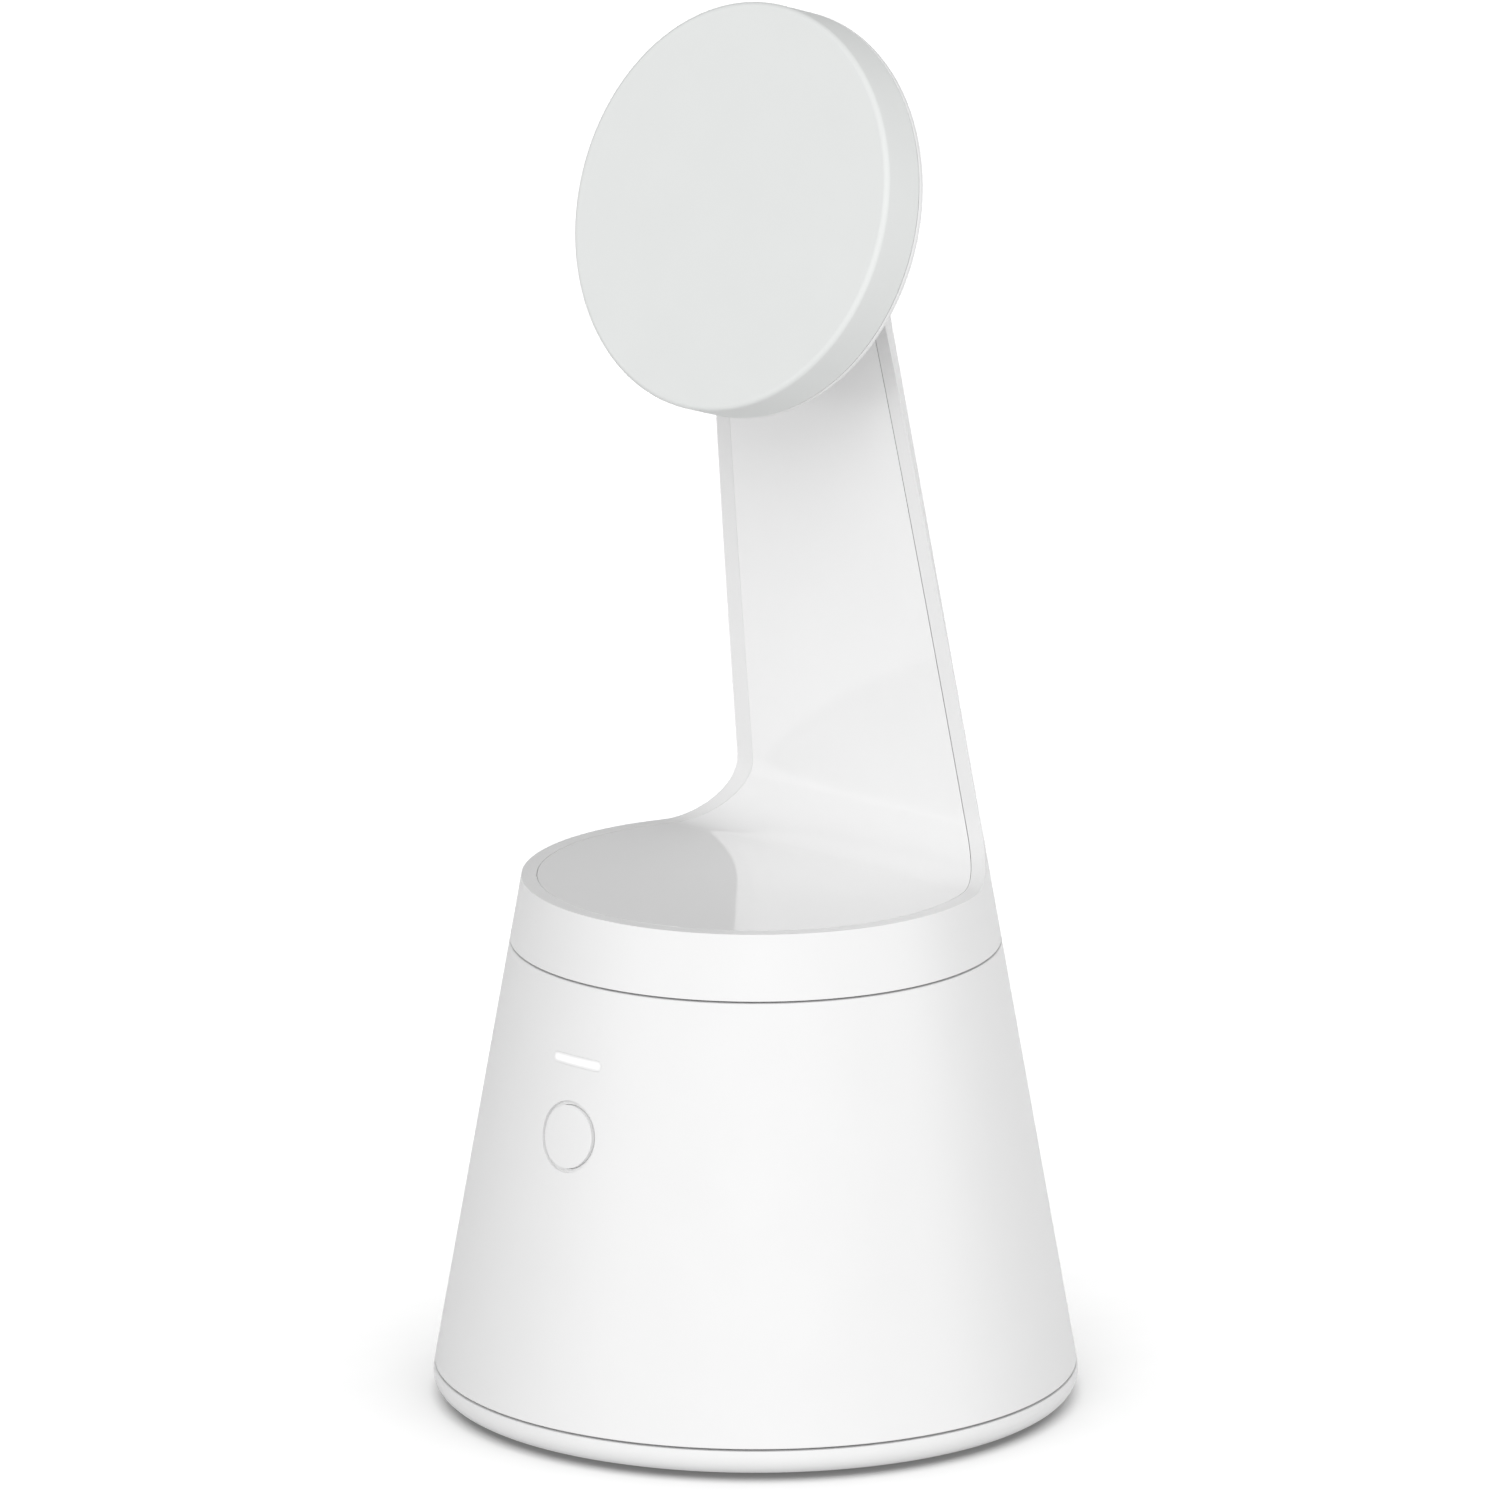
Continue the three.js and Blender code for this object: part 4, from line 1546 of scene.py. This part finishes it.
@dataclass
class Studio:
    """The floor, the light and the camera."""

    camera_place: Triple = (1.5675, -1.6638, 0.6832)
    azimuth: float = 43.29
    pitch: float = 14.487
    yaw: float = 0.023
    lens: float = 408.0
    floor_light: float = 5.8
    wash_angle: float = math.radians(100)
    world_front: float = 1.03
    world_back: float = 0.22
    world_below: float = 0.8
    turn_span: Point2 = (-0.8, 1.0)
    rise_span: Point2 = (-0.5, 0.1)
    aim: Triple = (0, 0, 0.09)
    sensor: float = 36.0
    clip: Point2 = (0.1, 40.0)
    floor_reach: float = 12.0
    boxes: tuple[SoftBox, ...] = (
        SoftBox("key", (0.9, -1.5, 1.4), (1.2, 1.2), 11.0),
        SoftBox("front_fill", (-0.35, -2.0, 0.15), (0.9, 0.5), 3.0),
        SoftBox("right_fill", (1.7, 0.9, 0.12), (0.9, 0.9), 7.2),
        SoftBox("back_fill", (-0.2, 1.7, 0.35), (0.9, 0.6), 3.5, mirrored=False),
    )

    def floor(self) -> None:
        """Lay the plain white floor, with its own light from above."""
        bm = bmesh.new()
        bmesh.ops.create_grid(bm, x_segments=1, y_segments=1, size=self.floor_reach)
        ground = to_object(bm, "floor")
        finish = MouldedPlastic("floor_paper", (0.45, 0.45, 0.45), 0.9, specular=0.0)
        ground.data.materials.append(finish.build())
        ground.visible_diffuse = False
        only = bpy.data.collections.new("floor_only")
        only.objects.link(ground)
        lamp = bpy.data.lights.new("floor_wash", "SUN")
        lamp.energy = self.floor_light
        lamp.angle = self.wash_angle
        placed("floor_wash", lamp).light_linking.receiver_collection = only

    def light(self) -> None:
        """Set the surroundings, brighter in front than behind, and the soft boxes."""
        scene = bpy.context.scene
        scene.world = bpy.data.worlds.new("studio")
        scene.world.use_nodes = True
        work = NodeWork(scene.world.node_tree)
        sky = work.tree.nodes["Background"]
        sky.inputs["Color"].default_value = (1.0, 1.0, 1.0, 1.0)
        turn = math.radians(self.azimuth)
        ahead = (math.sin(turn), -math.cos(turn), 0.0)
        ways = work.add("TexCoord")
        facing = work.add("VectorMath", {1: ahead}, operation="DOT_PRODUCT")
        split = work.add("SeparateXYZ")
        spread = work.ranged(self.turn_span, (self.world_back, self.world_front), True)
        under = work.ranged(self.rise_span, (self.world_below, 1.0))
        both = work.add("Math", operation="MULTIPLY")
        work.link(ways, "Generated", facing, 0)
        work.link(ways, "Generated", split, 0)
        work.link(facing, "Value", spread, "Value")
        work.link(split, "Z", under, "Value")
        work.link(spread, "Result", both, 0)
        work.link(under, "Result", both, 1)
        work.link(both, 0, sky, "Strength")
        for lamp in self.boxes:
            lamp.build(Vector(self.aim))
        scene.view_settings.view_transform = "Standard"
        scene.view_settings.look = "None"

    def camera(self) -> None:
        """Stand the camera where the mount fills the frame as it should."""
        data = bpy.data.cameras.new("camera")
        data.lens = self.lens
        data.sensor_width = self.sensor
        data.clip_start, data.clip_end = self.clip
        eye = placed("camera", data)
        turn = Matrix.Rotation(math.radians(self.azimuth + self.yaw), 4, "Z")
        tip = Matrix.Rotation(math.radians(90 - self.pitch), 4, "X")
        eye.matrix_world = Matrix.Translation(self.camera_place) @ turn @ tip
        bpy.context.scene.camera = eye

    def build(self) -> None:
        """Set up the whole studio."""
        self.camera()
        self.floor()
        self.light()


def main() -> None:
    """Build the mount, dress it and set up its studio."""
    logging.basicConfig(level=logging.INFO, format="%(name)s: %(message)s")
    fitter = Fitter()
    Studio().build()
    for assembly in (Foot(), BaseShell(), Arm(), Head()):
        assembly.build(fitter)
    kept = Insides().dress()
    LOG.info("%d new pieces, %d CAD nodes kept", len(fitter.made), kept)


if __name__ == "__main__":
    main()
